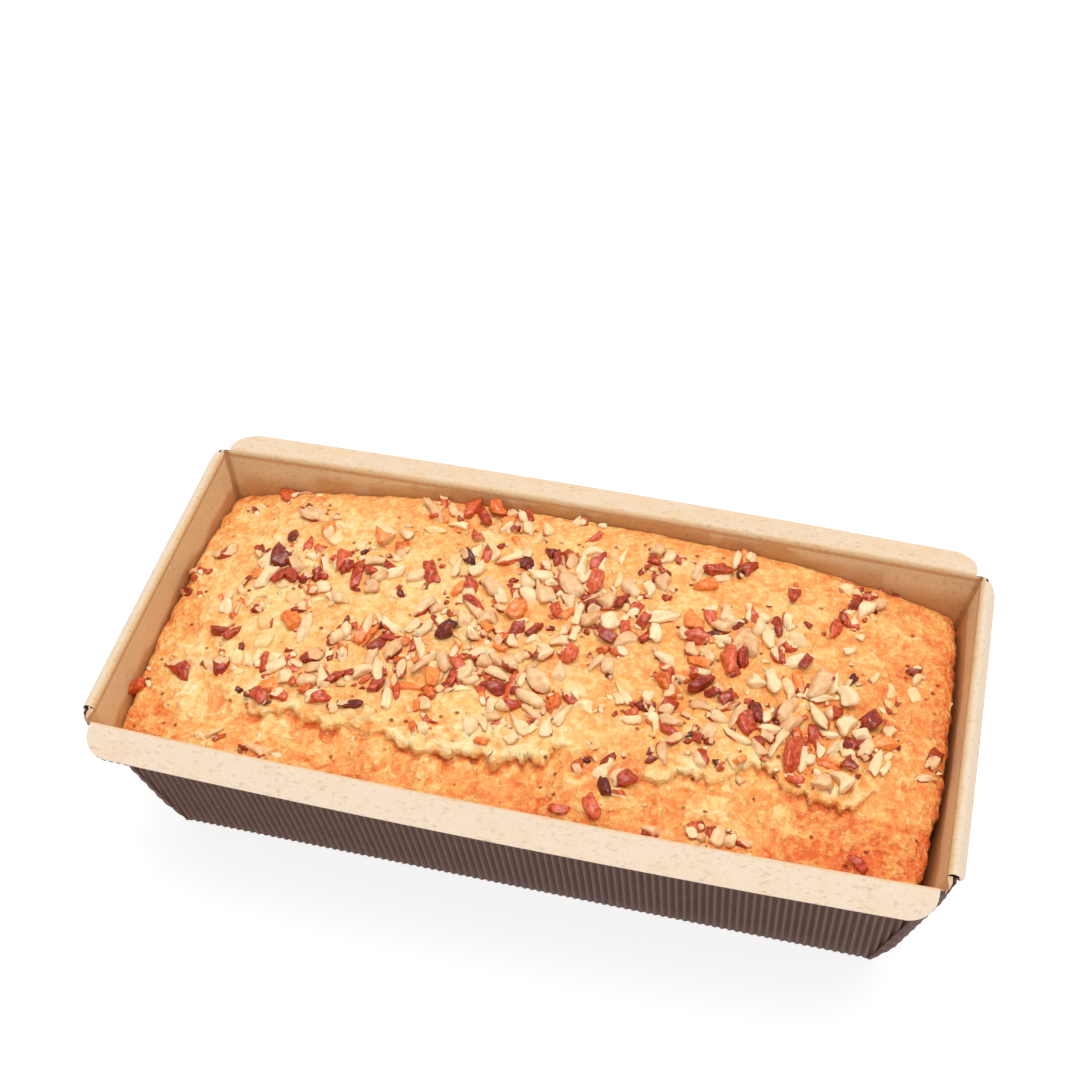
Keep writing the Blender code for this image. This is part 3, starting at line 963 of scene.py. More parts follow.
@dataclass
class PaperCase:
    """The folded case: a kraft liner inside and a brown fluted sheet outside."""

    shape: CaseShape

    def corner_net(self, face_x: int, face_y: int) -> Net:
        """Net of the liner's fold that joins a long wall to a short one.

        Args:
            face_x: 1 at the right, -1 at the left.
            face_y: 1 at the back, -1 at the front.

        Returns:
            Net whose rows run round the corner.
        """
        shape = self.shape
        lines = [line for line in shape.section(shape.slope_x, 1.0, 1 * MM, 3 * MM) if line.out == 0]
        rows, shades = [], []
        turn = np.linspace(0, math.pi / 2, 13)
        # The fold leaves a narrow groove in the corner.
        groove = 0.9 * MM * np.sin(2 * turn) ** 2
        for line in lines:
            end_x = shape.half_x(line.z) + line.shift
            end_y = shape.half_y(line.z) + line.shift
            cut_x = shape.cut(line.z, shape.cut_x)
            cut_y = shape.cut(line.z, shape.cut_y(face_y))
            x = end_x - cut_x * (1 - np.sin(turn)) + groove
            y = end_y - cut_y * (1 - np.cos(turn)) + groove
            row = np.stack([face_x * x, face_y * y, np.full_like(x, line.z)], -1)
            rows.append(row)
            shade, soak_and_corner_shade, shade_below_fold = shape.tone(row, line)
            # The middle of the turn gets the soaked colour as painted shade in the corner's groove.
            shades.append((shade, np.maximum(soak_and_corner_shade, 0.6 * np.sin(2 * turn)), shade_below_fold))
        return Net(np.array(rows), shape.layers(shades), flip=face_x * face_y < 0)

    def ear_nets(self, face_x: int, face_y: int) -> tuple[Net, Net, Net]:
        """Nets of the spare paper of a corner, folded flat against the short wall.

        Args:
            face_x: 1 at the right, -1 at the left.
            face_y: 1 at the back, -1 at the front.

        Returns:
            The fluted outside of the ear, the folded brown edge on top of it, and the kraft strip
            beside that.
        """
        shape = self.shape
        turn = np.linspace(math.pi / 2, 0, 12)
        marks = np.arange(0, shape.ear_reach, shape.pitch / 6)
        rows, crests = [], []
        top = shape.top()
        heights = np.concatenate(
            [np.linspace(shape.board, shape.ear_bottom, 5)[:-1], np.linspace(shape.ear_bottom, top, 72)]
        )
        for z in heights:
            reach = shape.ear_reach * max(z - shape.ear_bottom, 0) / (shape.height - shape.ear_bottom)
            # Past the ear's top only the round corner goes on up.
            reach *= 1 - smooth((z - shape.ear_top) / (0.8 * MM))
            thin_rim = 1 - 0.45 * smooth((z - 48 * MM) / (12 * MM))
            thick = shape.board + shape.ear_thick * smooth(z / (14 * MM)) * thin_rim
            half_x, half_y = shape.half_x(z), shape.half_y(z)
            side = half_y + 0.66 * shape.board
            at_rim = shape.cut_y(face_y) + shape.ear_round
            radius = 2.0 * MM + (at_rim - 2.0 * MM) * z / shape.height
            centre = (half_x + thick - radius, side - radius)
            gap = centre[0] - (half_x - shape.cut(z, shape.cut_x))
            along = np.minimum(marks, reach)
            edge = np.full(2, reach)
            a = np.concatenate([[centre[0] - gap], centre[0] + radius * np.cos(turn)])
            b = np.concatenate([[side], centre[1] + radius * np.sin(turn)])
            a = np.concatenate([a, np.full(len(marks), half_x + thick), [half_x + thick - 0.5 * MM, half_x + 0.5 * MM]])
            b = np.concatenate([b, centre[1] - along, centre[1] - edge - 0.25 * MM])
            run = np.concatenate([[-radius * 1.57 - gap], -radius * turn, along, edge])
            phase = np.cos(
                2 * math.pi * (run * math.cos(shape.ear_lean) + z * math.sin(shape.ear_lean)) / shape.pitch
            )
            phase[-2:] = 0
            ridge = 0.34 * shape.board * phase * np.concatenate([[0.3], np.full(len(turn), 0.3), np.ones(len(marks) + 2)])
            away_a = np.concatenate([[0], np.cos(turn), np.ones(len(marks)), [0, 0]])
            away_b = np.concatenate([[1], np.sin(turn), np.zeros(len(marks)), [0, 0]])
            a, b = a + away_a * (ridge - 0.1 * MM), b + away_b * ridge
            a = a + shape.short_bulge(np.clip(b / half_y, -1, 1), z)
            rows.append(np.stack([face_x * a, face_y * b, np.full_like(a, z)], -1))
            crests.append(0.5 + 0.5 * phase)
        skin = Net(np.array(rows), {"crest": np.array(crests)}, flip=face_x * face_y > 0)
        # Folded layers: from the liner's groove out to the ear's outside, with one dip between.
        rim = rows[-1][: 1 + len(turn)]
        inner_turn = math.pi / 2 - np.concatenate([[math.pi / 2], turn])
        cut_x, cut_y = shape.cut(top, shape.cut_x), shape.cut(top, shape.cut_y(face_y))
        groove = 0.9 * MM * np.sin(2 * inner_turn) ** 2
        inner_x = shape.half_x(top) - cut_x * (1 - np.sin(inner_turn)) + groove
        inner_y = shape.half_y(top) - cut_y * (1 - np.cos(inner_turn)) + groove
        inner = np.stack([face_x * inner_x, face_y * inner_y, np.full_like(inner_x, top)], -1)
        folds = ((0.0, 0.0), (0.3, 0.3), (0.56, 0.2), (0.64, -1.8), (0.72, 0.0), (0.86, 0.25), (1.0, 0.0))
        layers = []
        for share, lift in folds:
            row = inner * (1 - share) + rim * share
            row[:, 2] += lift * MM
            layers.append(row)
        flip = face_x * face_y > 0
        # The dip in the folded layers is painted as shade, darkest brown and most tan, and the raised brown fold beside
        # it as a painted highlight.
        tones = np.array([[0.0], [0.5], [0.8], [0.6]])
        brown = Net(np.array(layers[3:]), {"crest": np.repeat(tones, len(rim), 1)}, flip=flip)
        shade = np.repeat(np.array([[0.5], [0.4], [0.5], [1.0]]), len(rim), 1)
        tone = (shade[:, 0], 0.35 + 0 * shade[:, 0], 0 * shade[:, 0])
        strip = Net(
            np.array(layers[:4]),
            {name: np.repeat(values[:, None], len(rim), 1) for name, values in zip(("shade", "soak_and_corner_shade", "shade_below_fold"), tone)},
            flip=flip,
        )
        return skin, brown, strip

    def build(self) -> list[bpy.types.Object]:
        """Make the liner and the fluted sheet.

        Returns:
            The two pieces of the case.
        """
        pieces = []
        corners = [(face_x, face_y) for face_x in (-1, 1) for face_y in (-1, 1)]
        ears = [self.ear_nets(*corner) for corner in corners]
        board = FlutedBoard().make()
        for name, outside, material in (
            ("kraft_liner", False, KraftPaper().make()),
            ("fluted_outside", True, board),
        ):
            nets = [self.shape.base_net(outside)]
            for face in (-1, 1):
                nets.append(self.shape.long_net(face, outside))
                nets.append(self.shape.short_net(face, outside))
            if not outside:
                nets += [self.corner_net(*corner) for corner in corners]
                nets += [strip for _, _, strip in ears]
            pieces.append(piece_from_nets(name, nets, material))
        brown = [net for skin, edge, _ in ears for net in (skin, edge)]
        pieces.append(piece_from_nets("folded_ears", brown, board))
        return pieces


class ChipKind(Enum):
    """What shows on a chip of kernel, which depends on how it broke and on its roasting."""

    FLESH = "flesh"
    SUNK = "sunk"
    HALF = "half"
    AMBER = "amber"
    SKIN = "skin"
    DARK = "dark"


@dataclass(frozen=True)
class Chip:
    """A chip of kernel on the cake: its place, length, width, turn and kind, and how it lies."""

    x: float
    y: float
    long: float
    wide: float
    turn: float
    kind: ChipKind
    sunk: float
    lift: float


# Where each chip lies: across, along, length and width in millimetres and turn in degrees.
LAID: dict[ChipKind, tuple[tuple[float, float, float, float, float], ...]] = {
    ChipKind.FLESH: (
        (-87, 49.5, 6, 1.8, 50), (-88.5, 53, 4, 1.8, 110), (-80.5, 38, 7, 4.6, 160),
        (-88, 19, 7.5, 3.4, 85), (-85.5, 11, 8.5, 3.8, 75), (-78.5, 17.5, 7, 4.4, 125),
        (-75, 21, 3.5, 2.2, 170), (-70, 19, 6.8, 2.8, 115), (-73, 12, 3, 2, 90), (-79.5, 9, 3, 2.5, 0),
        (-67.5, 9.5, 4.6, 4, 0), (-91, 6, 5, 2.4, 120), (-94, 3, 5, 3, 80), (-64, 6, 4, 2.4, 150),
        (-93, -1, 5, 3.4, 100), (-67.8, -6.5, 11, 3.4, 93), (-90.5, -21.5, 5, 3.2, 140),
        (-77.5, -18, 4.5, 2.4, 75), (-71.5, -20.5, 6, 3.4, 40), (-66, -19, 4.6, 2, 160),
        (-67, -24, 4.6, 4.4, 0), (-81.5, -43.5, 6.2, 2.2, 35), (-67.5, -46, 6.6, 3.4, 165),
        (-45, 45, 10, 2.8, 135), (-40, 47, 6.2, 2.4, 115), (-45, 53.5, 3, 1.4, 110),
        (-38.5, 53, 5.6, 4, 100), (-36.8, 44.5, 4.6, 2.4, 110), (-36.5, 40.8, 5.4, 2.8, 5),
        (-22.3, 49, 3, 2.8, 0), (-19, 47.5, 4.2, 2.4, 120), (-16.5, 43.5, 5.2, 2.8, 110),
        (-23.5, 31.5, 7.2, 3, 115), (-17, 30.5, 10, 3, 40), (-31.8, 23, 7.2, 2.2, 90),
        (-26, 23.5, 6.2, 3.4, 60), (-50.5, 34, 5.2, 3.4, 150), (-56.5, 21.5, 6.8, 3, 15),
        (-53, 16.5, 5.8, 3.8, 50), (-48.5, 18.5, 5.8, 3.8, 40), (-50, 24, 3, 2.4, 0),
        (-42.5, 18, 5.8, 4.2, 20), (-54, 12, 5.6, 4.2, 110), (-62, 6.5, 6.4, 4.2, 130),
        (-37, 7, 7.8, 3.8, 60), (-33, 7, 5.2, 2.4, 30), (-20.5, 17.5, 7.2, 4.4, 140),
        (-17.5, 15, 5.2, 3.4, 130), (-16, 10.5, 4.2, 2.4, 150), (-25.5, 4.5, 5.8, 3.8, 130),
        (-31, 2.5, 5.8, 2.8, 120), (-18.5, 6, 5.2, 4.8, 0), (-21.5, 0, 4.2, 2.4, 130),
        (-34, 0.5, 4.4, 2.4, 80), (-57, -7.5, 7.8, 3.4, 45), (-55.5, -6, 4.2, 2.8, 90),
        (-44.5, -2, 6.2, 3.4, 150), (-47, -1, 5.2, 2, 130), (-41, -10, 6.4, 4.4, 60),
        (-38, -1, 5.4, 3, 60), (-34.5, -1.5, 5.8, 3.4, 70), (-33.5, -8.5, 8.2, 2.4, 115),
        (-31.5, -13, 8.2, 3.4, 60), (-29.5, -10, 3.2, 2.4, 100), (-36.8, -15.5, 6.8, 2.6, 100),
        (-46, -14.5, 7.2, 2.8, 95), (-47, -18.5, 5.8, 3.4, 35), (-43, -17.5, 8.2, 2.8, 105),
        (-38, -26, 6.8, 3, 100), (-60, -19.5, 5.8, 2.8, 25), (-57.5, -22.5, 6.8, 3.4, 120),
        (-60.5, -24.5, 5.2, 3.8, 0), (-51.5, -31.5, 3.6, 2.8, 120), (-21, -1, 4.2, 2.4, 140),
        (-26.5, -11.5, 6.8, 3.2, 120), (-19.5, -13, 6.2, 3.8, 60), (-26, -16, 5.2, 2.2, 95),
        (-17, -6.5, 6.8, 3.8, 30), (-15.5, -9, 4.2, 3.8, 0), (-17.5, -16, 5.2, 2.8, 30),
        (-27.5, -25.5, 4.8, 3, 120), (-62.5, -46.5, 4.2, 2.4, 165), (-3.3, 50.7, 4.8, 2.5, 90),
        (-14.3, 33.8, 5, 2.6, 100), (-7.7, 29.9, 5.5, 3, 95), (2.4, 31.4, 8, 2.8, 90),
        (4, 38.2, 7, 3, 20), (7.8, 33, 5.5, 2.6, 85), (17.6, 25.8, 6.8, 4, 130),
        (22.8, 27.7, 6, 3.4, 120), (21.9, 42.4, 4, 3.8, 0), (25.8, 41, 6.5, 3.8, 80),
        (25.5, 31, 5.5, 4, 90), (28.3, 17.8, 9, 4, 22), (27.3, 11.3, 6, 3.8, 100),
        (12.5, 20.5, 6, 4.4, 70), (8.9, 12.3, 5.5, 4, 35), (8, 21, 6, 2, 40), (14.3, 12, 5.5, 5, 60),
        (17.8, 13.5, 4.5, 2.5, 60), (20, 7.5, 8, 4.6, 20), (31.9, 3.5, 6.5, 3.2, 155),
        (-1.3, 27.6, 6, 3.6, 130), (-8, 24.8, 7, 4, 15), (-11.7, 22.8, 5.5, 4, 130),
        (-4.5, 23.3, 3.6, 3, 0), (-9.7, 17, 6, 4.4, 120), (-6.2, 19, 8, 5, 130),
        (0.8, 23.2, 8, 5.5, 120), (1.8, 18.8, 3, 2, 30), (-1, 16, 5, 2, 150), (1.5, 17.5, 6, 2.6, 140),
        (5.3, 14, 8, 3, 95), (5.7, 23.8, 4.6, 2.8, 110), (4.5, 28, 5, 2.4, 60), (-13, 14, 3, 3, 0),
        (-4.5, 1.5, 4.5, 3, 10), (-13, 1, 5, 2.6, 140), (3.2, 5.8, 5.5, 3, 80), (6.2, 6.6, 6.5, 2.8, 95),
        (2.4, 2.5, 5, 3.6, 30), (14, -2.5, 6, 2.8, 60), (17.2, -3, 5, 3.6, 100), (-0.4, -2, 6, 4.4, 110),
        (-5.8, -5, 4.4, 3.6, 60), (-8.8, -7.4, 6.5, 4, 110), (-13, -7.3, 6, 2.6, 125),
        (-10, -0.5, 4, 3, 120), (-3, -8, 4, 2, 45), (0.2, -11.6, 8, 5.2, 120), (4.6, -7, 6, 3.8, 100),
        (10.8, -14, 4, 1.8, 110), (-0.3, -17.8, 8, 4.6, 150), (-10.9, -12.3, 6.5, 2.6, 170),
        (-4.3, -13, 4, 1.8, 90), (-10, -22.5, 5, 3, 100), (1.3, -22.3, 7, 2.4, 150),
        (9.4, -21.8, 6.5, 2.6, 65), (7.8, -21, 5, 2, 75), (6, -26, 6.5, 3.4, 95),
        (-8.8, -26, 5, 3.6, 20), (-10.5, -28.5, 5, 3, 130), (-1.5, -27, 7.5, 3.6, 140),
        (-14, -29.5, 5, 4, 120), (-2, -31.5, 4, 3, 60), (23.5, -36, 6, 4, 60),
        (22.3, -13, 4.2, 2.4, 120), (23, -10.6, 8, 2.4, 130), (29.8, -10, 4.6, 3.2, 70),
        (32, -15.5, 5, 3, 110), (44.4, 46, 7, 2.8, 85), (48, 49, 5, 3, 80), (41, 37.3, 6.5, 2.2, 35),
        (34.8, 39, 9, 3, 80), (79, 43.6, 2.6, 2.6, 0), (82, 38.8, 6, 4, 50), (79.7, 33.5, 4.6, 2.2, 90),
        (80, 22, 4.4, 2.4, 45), (45.8, 22.6, 6.5, 4.6, 100), (44.3, 18.3, 5, 3.2, 160),
        (50.3, 16, 10.5, 3.2, 72), (46, 13.8, 5, 4, 30), (55, 25.8, 4, 3.4, 30),
        (54.6, 21.8, 5, 3.4, 90), (57.6, 19.3, 8, 3.4, 100), (62, 26.5, 6, 3.2, 100),
        (53.4, 14.8, 8, 4, 100), (65.5, 20.3, 5.5, 4.4, 0), (61.5, 18.8, 4, 2, 45),
        (60.3, 14, 6.5, 2.8, 105), (66, 12.8, 6.5, 3.6, 45), (73.5, 6.5, 10, 5, 70), (77, 9, 6.5, 3, 85),
        (75, 3, 7, 3, 20), (80.9, 5, 7, 4.8, 120), (61, 3.8, 8, 3.6, 115), (57, 2.6, 4.6, 4, 0),
        (65.8, 3.2, 8, 3.2, 115), (35.2, 13, 4, 3, 100), (37.8, 8, 4.4, 3.4, 110),
        (42.5, 7.6, 7, 3.4, 120), (44.6, -9, 6.5, 3, 175), (49.2, -12.3, 5, 3.6, 150),
        (53.8, -10.5, 8, 3, 75), (61.4, -8.2, 4.6, 2.6, 90), (62.5, -12, 5.5, 3, 0),
        (62.7, -14.8, 4, 3.6, 0), (65.6, -15.8, 10, 2.8, 75), (66, -4.2, 9, 4, 62),
        (67.5, -8.5, 7, 4, 60), (72.4, -18.5, 8, 2.6, 95), (74.2, -18.2, 4, 2.8, 60),
        (74.5, -3.8, 8, 3, 135), (78, -7.8, 5, 2.6, 165), (80.3, -11.5, 7, 2.6, 60),
        (82, -4.5, 6, 4.5, 60), (78.8, -24.5, 5, 4.5, 60), (37.3, -16.8, 6, 3, 165),
        (39.7, -22, 6, 2.6, 50), (47.7, -17.6, 6, 3.8, 70), (54.5, -17, 8, 2.6, 150),
        (37, -27.5, 6, 2.8, 105), (55.2, -46.4, 5.6, 4, 80), (58.5, -47.1, 3.8, 3.2, 20),
        (62, -47.3, 3.6, 2.8, 160), (38.7, -48.8, 5, 2.4, 170), (85.3, -2.4, 2.2, 2, 0),
        (93.4, -2.6, 4, 3.4, 60), (86.3, -5.8, 4.6, 3.6, 20), (88.2, -9.8, 6, 3.6, 65),
        (84, -12.6, 4, 3, 30), (91.4, -13, 7.2, 2.8, 82), (83.6, -21.8, 6.5, 5, 120),
        (105, -13, 5.5, 3, 10), (110.3, -33.5, 3, 1.6, 90), (85, 42, 5.6, 4.4, 60),
        (87.5, 50.3, 3.4, 1.8, 20), (89, 49.6, 2.4, 1.2, 130), (99.2, 19.2, 5.4, 2.8, 45),
    ),
    ChipKind.SUNK: (
        (-98.5, 41, 5.5, 3.2, 150), (-76.5, 37, 4, 3, 100), (-71, 34.5, 4, 3.4, 0), (-70, 29, 5, 4, 45),
        (-74.5, 17, 4, 3.5, 90), (-76, 11.5, 3, 2.8, 0), (-68, 4.5, 3.6, 3, 60), (-86, 3, 6, 3.4, 30),
        (-76, 5, 6, 4, 160), (-80, -5, 6.5, 4.4, 100), (-78, -12, 6.5, 5, 80), (-72.5, -17, 4, 2.8, 60),
        (-83.5, -17.5, 5, 3, 100), (-82, -23.5, 5, 4, 0), (-80, -19, 5, 2.4, 110), (-84, -45, 3, 2, 0),
        (-43.5, 46, 3.4, 1.8, 100), (-17, 33.5, 3, 2.4, 30), (-42.5, 37.5, 6.2, 2.4, 10),
        (-27, 38, 6, 4, 130), (-33.5, 26, 6, 4, 90), (-28.5, 31, 4.4, 3, 90), (-61.5, 27, 4.4, 3, 90),
        (-47, 10, 4, 2.8, 0), (-24.5, 6.5, 2.2, 2, 0), (-22, 3, 2.6, 2.4, 0), (-58, -14, 3.2, 2, 90),
        (-42, -32.5, 6, 5, 90), (-46, -33, 6, 4, 0), (-24, -2, 4.2, 2, 150), (-28.5, -13, 3.2, 2.8, 0),
        (-25, -19.5, 3.2, 2, 45), (-19, -18.5, 5.2, 1.8, 10), (-26, -33, 4.2, 2.8, 110),
        (0.2, 51.5, 3, 1.5, 20), (-10.5, 44.5, 5, 3.5, 90), (-12.8, 39.8, 5.5, 3, 80),
        (3.5, 45, 3, 2, 70), (2.5, 41, 4, 3, 60), (10.5, 38, 5, 4, 90), (12.8, 38.5, 7, 1.6, 80),
        (13.6, 29, 6, 2.5, 80), (28.2, 21, 3, 2, 60), (22, 13, 3, 1.5, 130), (17.5, 19, 3, 3, 0),
        (18.5, 22, 5, 2.2, 130), (-9.5, 7, 5, 2, 20), (10.5, -12, 8, 5, 170), (5, -15.7, 3, 1.6, 0),
        (14.5, -17.3, 6, 4.5, 0), (18.5, -16.5, 2, 1.5, 0), (20, -13, 2.5, 1.6, 0), (2.5, -27, 4, 2, 60),
        (-6, -30.5, 4, 3, 90), (20, -29, 4, 3, 0), (33.5, -18.5, 5, 3.4, 130), (26.5, -19, 5, 3, 10),
        (75.9, 44.8, 5, 4, 100), (78.3, 36.5, 3, 2, 60), (81.9, 27.6, 2.6, 2.4, 0),
        (65.5, 26, 4, 2.6, 60), (55.5, -24, 5, 4, 60), (94, -10.5, 4, 2, 70), (93.8, -14, 5, 2.4, 70),
        (84.3, 37, 3, 2, 130), (98.6, 13.8, 6.5, 3.5, 120), (87.5, 14.7, 4, 2.4, 70),
        (92.7, 12.4, 5, 3.5, 110), (92.5, 7.2, 3.5, 2.6, 110), (91.5, 4.7, 3.5, 1.6, 130),
        (108.9, 14, 3.5, 1.6, 80),
    ),
    ChipKind.HALF: (
        (-91, 21, 4.6, 2.8, 110), (-65.5, 20.5, 7, 5, 60), (-63.5, 19, 5.4, 4, 110),
        (-23.5, 10, 9.2, 3.4, 130), (-56.5, -29, 6.8, 4, 10), (-11.5, -16, 7.5, 4.6, 165),
        (-5.6, -21.5, 6, 4.4, 170), (28.8, -37, 7, 5, 20), (28.5, -42, 4, 2, 10), (62, 37.2, 5, 4, 60),
        (41.2, 21.8, 7, 4, 110), (51.2, 26.4, 6.5, 3.6, 110), (46.5, -3.8, 5, 4, 60),
        (61, -18, 5.5, 4, 120), (78.3, -0.8, 5, 4, 60), (46.8, -26, 5, 4, 120),
    ),
    ChipKind.AMBER: (
        (-73, 32.5, 5.5, 4, 120), (-88.5, 13, 4, 2.8, 30), (-70, 8, 3.6, 3, 0), (-71, 2, 4.6, 3.4, 30),
        (-96.5, 2.5, 3, 1.8, 100), (-89.5, 1, 4.4, 2, 110), (-90, -2.5, 4.4, 1.8, 80),
        (-72, -4.5, 6.5, 4.4, 130), (-65, -25, 2.6, 2, 130), (-71.5, -27, 5.8, 4.4, 30),
        (-41, 52, 5, 2.4, 110), (-41.5, 43.5, 4.6, 2, 115), (-27, 49, 6, 4.2, 120),
        (-22.5, 44, 7, 3.8, 95), (-18, 37.5, 5.2, 1.8, 125), (-56, 32, 7, 5.2, 110),
        (-49.5, 28, 7.2, 4, 110), (-29.5, 15.5, 5.2, 3, 60), (-17.5, 12.3, 3.6, 1.4, 150),
        (-28, 6, 3.2, 1.4, 30), (-18, 3, 3.6, 2.8, 130), (-51, -4.5, 10, 3.4, 85),
        (-48.3, -6, 8.2, 1.8, 75), (-38.5, -6, 4.2, 2.4, 90), (-34, -12, 3.2, 1.8, 130),
        (-38, -13, 3.2, 2.2, 0), (-54.5, -13, 6.8, 3, 105), (-38.5, -21, 5.2, 3, 60),
        (-34.5, -21, 8.2, 2.6, 10), (-60, -27, 4.2, 2.8, 60), (-24.5, -6.5, 5.6, 2.4, 80),
        (-28, -17, 5.2, 3.8, 100), (-15.5, -12, 3.2, 2.8, 0), (-27.5, -21.5, 4.4, 2.8, 130),
        (-29.5, -26, 4.2, 1.6, 100), (-28, -34, 5.2, 2, 120), (-14.5, 26, 3, 2, 90),
        (-1.2, 33.5, 7, 4.3, 100), (14.8, 2.2, 3.5, 3, 0), (32.5, 1, 4, 2, 160), (3, 14.5, 7.5, 2.6, 62),
        (-11.5, 11.3, 6, 4.6, 70), (-12.5, -4, 4, 1.8, 0), (-13.5, -0.5, 4, 3, 60),
        (6.1, -18.4, 5, 4.4, 110), (-13, -20.5, 4.5, 1.8, 110), (-9.5, -34, 4, 2, 0),
        (16.5, -35.8, 5, 2.8, 105), (19.9, -31.7, 3.4, 1.6, 145), (33.2, -4, 5.5, 4, 140),
        (45.8, 50, 2.6, 2, 90), (37.5, 32.8, 6.5, 4, 20), (62, 40.8, 2.5, 1.4, 100),
        (42, 12.8, 4.5, 2, 10), (67.8, 6.5, 7.5, 2.8, 110), (37, 18.5, 7, 5, 100),
        (41, 4.7, 6, 2.8, 170), (37.5, -1.3, 4.4, 3.6, 40), (36, -7.2, 5, 4, 20),
        (51, -7.5, 6.5, 2.6, 25), (70, -10.3, 6, 2.8, 110), (73, -13.5, 5.5, 2.2, 110),
        (79.4, -17.8, 7.5, 2.6, 175), (57, -24.4, 4, 2.2, 50), (92.5, -6.5, 7, 3.4, 25),
        (85.2, 51, 1.3, 0.8, 0), (94.3, 9.9, 1.4, 1.3, 0),
    ),
    ChipKind.SKIN: (
        (-92, 48, 7, 4.6, 115), (-84.5, 41, 4, 2, 170), (-77.5, 25.3, 6.6, 2.8, 80),
        (-102, 21, 6.8, 4, 25), (-107, 13, 3, 1.8, 110), (-108.5, 5.3, 4.6, 2.6, 170),
        (-91.5, 10.5, 5, 1.8, 75), (-81.5, 12.5, 6, 3, 60), (-78.5, 13, 6, 3.4, 150),
        (-71, 14.5, 4.6, 3, 110), (-73.5, 12, 4, 2.4, 60), (-67, 21, 3.5, 2.2, 70),
        (-83.5, -0.8, 3, 2.6, 0), (-91.5, -10, 5, 3.4, 10), (-87.5, -9.5, 7, 2.8, 65),
        (-71.5, 0, 4, 2, 20), (-99, -23, 9.5, 4.6, 152), (-87, -21.5, 5.8, 4.2, 110),
        (-75, -19.5, 6.4, 3, 95), (-68, -17, 3.6, 1.6, 70), (-66.5, -21, 4, 1.4, 170),
        (-108.5, -30, 5.8, 5, 100), (-73, -30.5, 6.2, 3.6, 150), (-67, -29.5, 5.2, 3.4, 160),
        (-76, -30.5, 2.6, 1.6, 30), (-79.5, -44.5, 4.6, 1.6, 35), (-72, -47, 2.4, 1.6, 30),
        (-43.5, 50, 6.5, 2.4, 115), (-34.5, 49, 8.8, 5, 105), (-30.5, 46.5, 9.2, 3, 130),
        (-24.5, 51.5, 4, 1.8, 120), (-19.8, 43.5, 4.2, 2.4, 90), (-17.3, 49, 5, 2.6, 110),
        (-30, 36.8, 5.4, 2.6, 130), (-25.2, 28.5, 4.4, 2.6, 90), (-52, 21, 8.2, 2.2, 145),
        (-55, 18, 5.2, 2.4, 20), (-39, 20, 7.8, 3.8, 120), (-59.5, 16, 10, 3.4, 100),
        (-26.5, 16, 7.6, 4.2, 95), (-33, 3, 3.2, 1.6, 120), (-43.5, -6, 4.6, 2.6, 0),
        (-36, -6.5, 4.6, 1.8, 100), (-45.5, -21, 4.2, 1.8, 40), (-51, -19.5, 3.2, 2, 30),
        (-41.5, -17, 4.2, 1.4, 115), (-42, -22.5, 4.8, 3.8, 90), (-36, -23, 5.2, 2.4, 120),
        (-62, -16.5, 6.2, 4, 40), (-54, -22, 5.2, 2.8, 70), (-22, -11.5, 5.2, 3, 130),
        (-22.8, -16, 6.8, 2.8, 80), (-20.8, -15.5, 6.2, 1.8, 105), (-20, -5.5, 3.6, 1.2, 100),
        (-14.5, -17, 4.2, 2.4, 120), (-26.2, -30, 4.4, 1.8, 120), (-5.3, 33, 6, 2.6, 110),
        (3, 43.8, 6, 1.8, 60), (5.8, 34.5, 7.5, 3.2, 75), (22, 24.5, 4, 1.5, 20),
        (22, 38.8, 4.2, 3.5, 0), (28, 41.5, 4, 1.6, 100), (24.5, 36, 4, 1.6, 130), (26, 35, 3, 1.5, 150),
        (23, 33.5, 5, 1.8, 95), (27.5, 25.5, 2.4, 2.4, 45), (23.4, 14.8, 4.5, 3, 70),
        (25.5, 10, 5, 2.4, 60), (12, 17.5, 6, 1.5, 10), (16.3, 20.5, 6, 2.6, 75),
        (20.4, 18.5, 6.5, 3, 75), (13.8, 7, 7.5, 3.4, 158), (19.2, 11, 5, 3, 110),
        (19.2, 2.7, 5, 3.4, 30), (9, 8, 2, 1.6, 90), (-3.2, 25.7, 3.4, 2.2, 150),
        (-13.4, 18, 5.5, 3.2, 115), (-3.5, 20, 4, 2, 60), (-1, 21.5, 3, 1.5, 150),
        (-0.8, 13.4, 4.6, 2.8, 120), (7.5, 26, 8, 4.4, 80), (-9.6, 4, 5.5, 3.8, 80),
        (-4.9, 5, 6, 2.6, 70), (6.6, -1.5, 5.5, 4, 70), (-2, -3.4, 4, 1.8, 80), (-3.5, -10, 5, 2, 60),
        (9.3, -15.7, 5, 2.4, 140), (-6.7, -15, 8, 2.2, 80), (-5, -16.5, 2.5, 2.5, 0),
        (1, -24.5, 4, 1.4, 160), (-6.5, -27.5, 4, 2, 45), (23.9, -32.8, 5, 2, 45),
        (22.9, -47.3, 6.5, 3.6, 125), (14.6, -49.2, 5, 2.6, 0), (27, -16.3, 4.5, 3, 45),
        (33.5, -0.5, 4, 2.4, 150), (48, 43.5, 5.5, 3.6, 60), (40, 39.8, 7.5, 4.6, 35),
        (74.7, 28.3, 7, 3.2, 80), (79.5, 45, 3, 1.4, 30), (82.8, 45.3, 5, 3, 60),
        (77.1, 32.7, 4, 2.4, 125), (50.5, 24, 3, 1.6, 110), (59.5, 24, 6.5, 3.2, 125),
        (63.8, 17, 3.6, 3.4, 60), (61.8, 14, 6, 2, 100), (68.6, 12.6, 5.5, 2.8, 75),
        (38.5, 12.8, 6, 5, 30), (48.8, 7.6, 8, 4.6, 120), (52, 9.5, 6, 3, 100), (51, 4.5, 5, 2.4, 45),
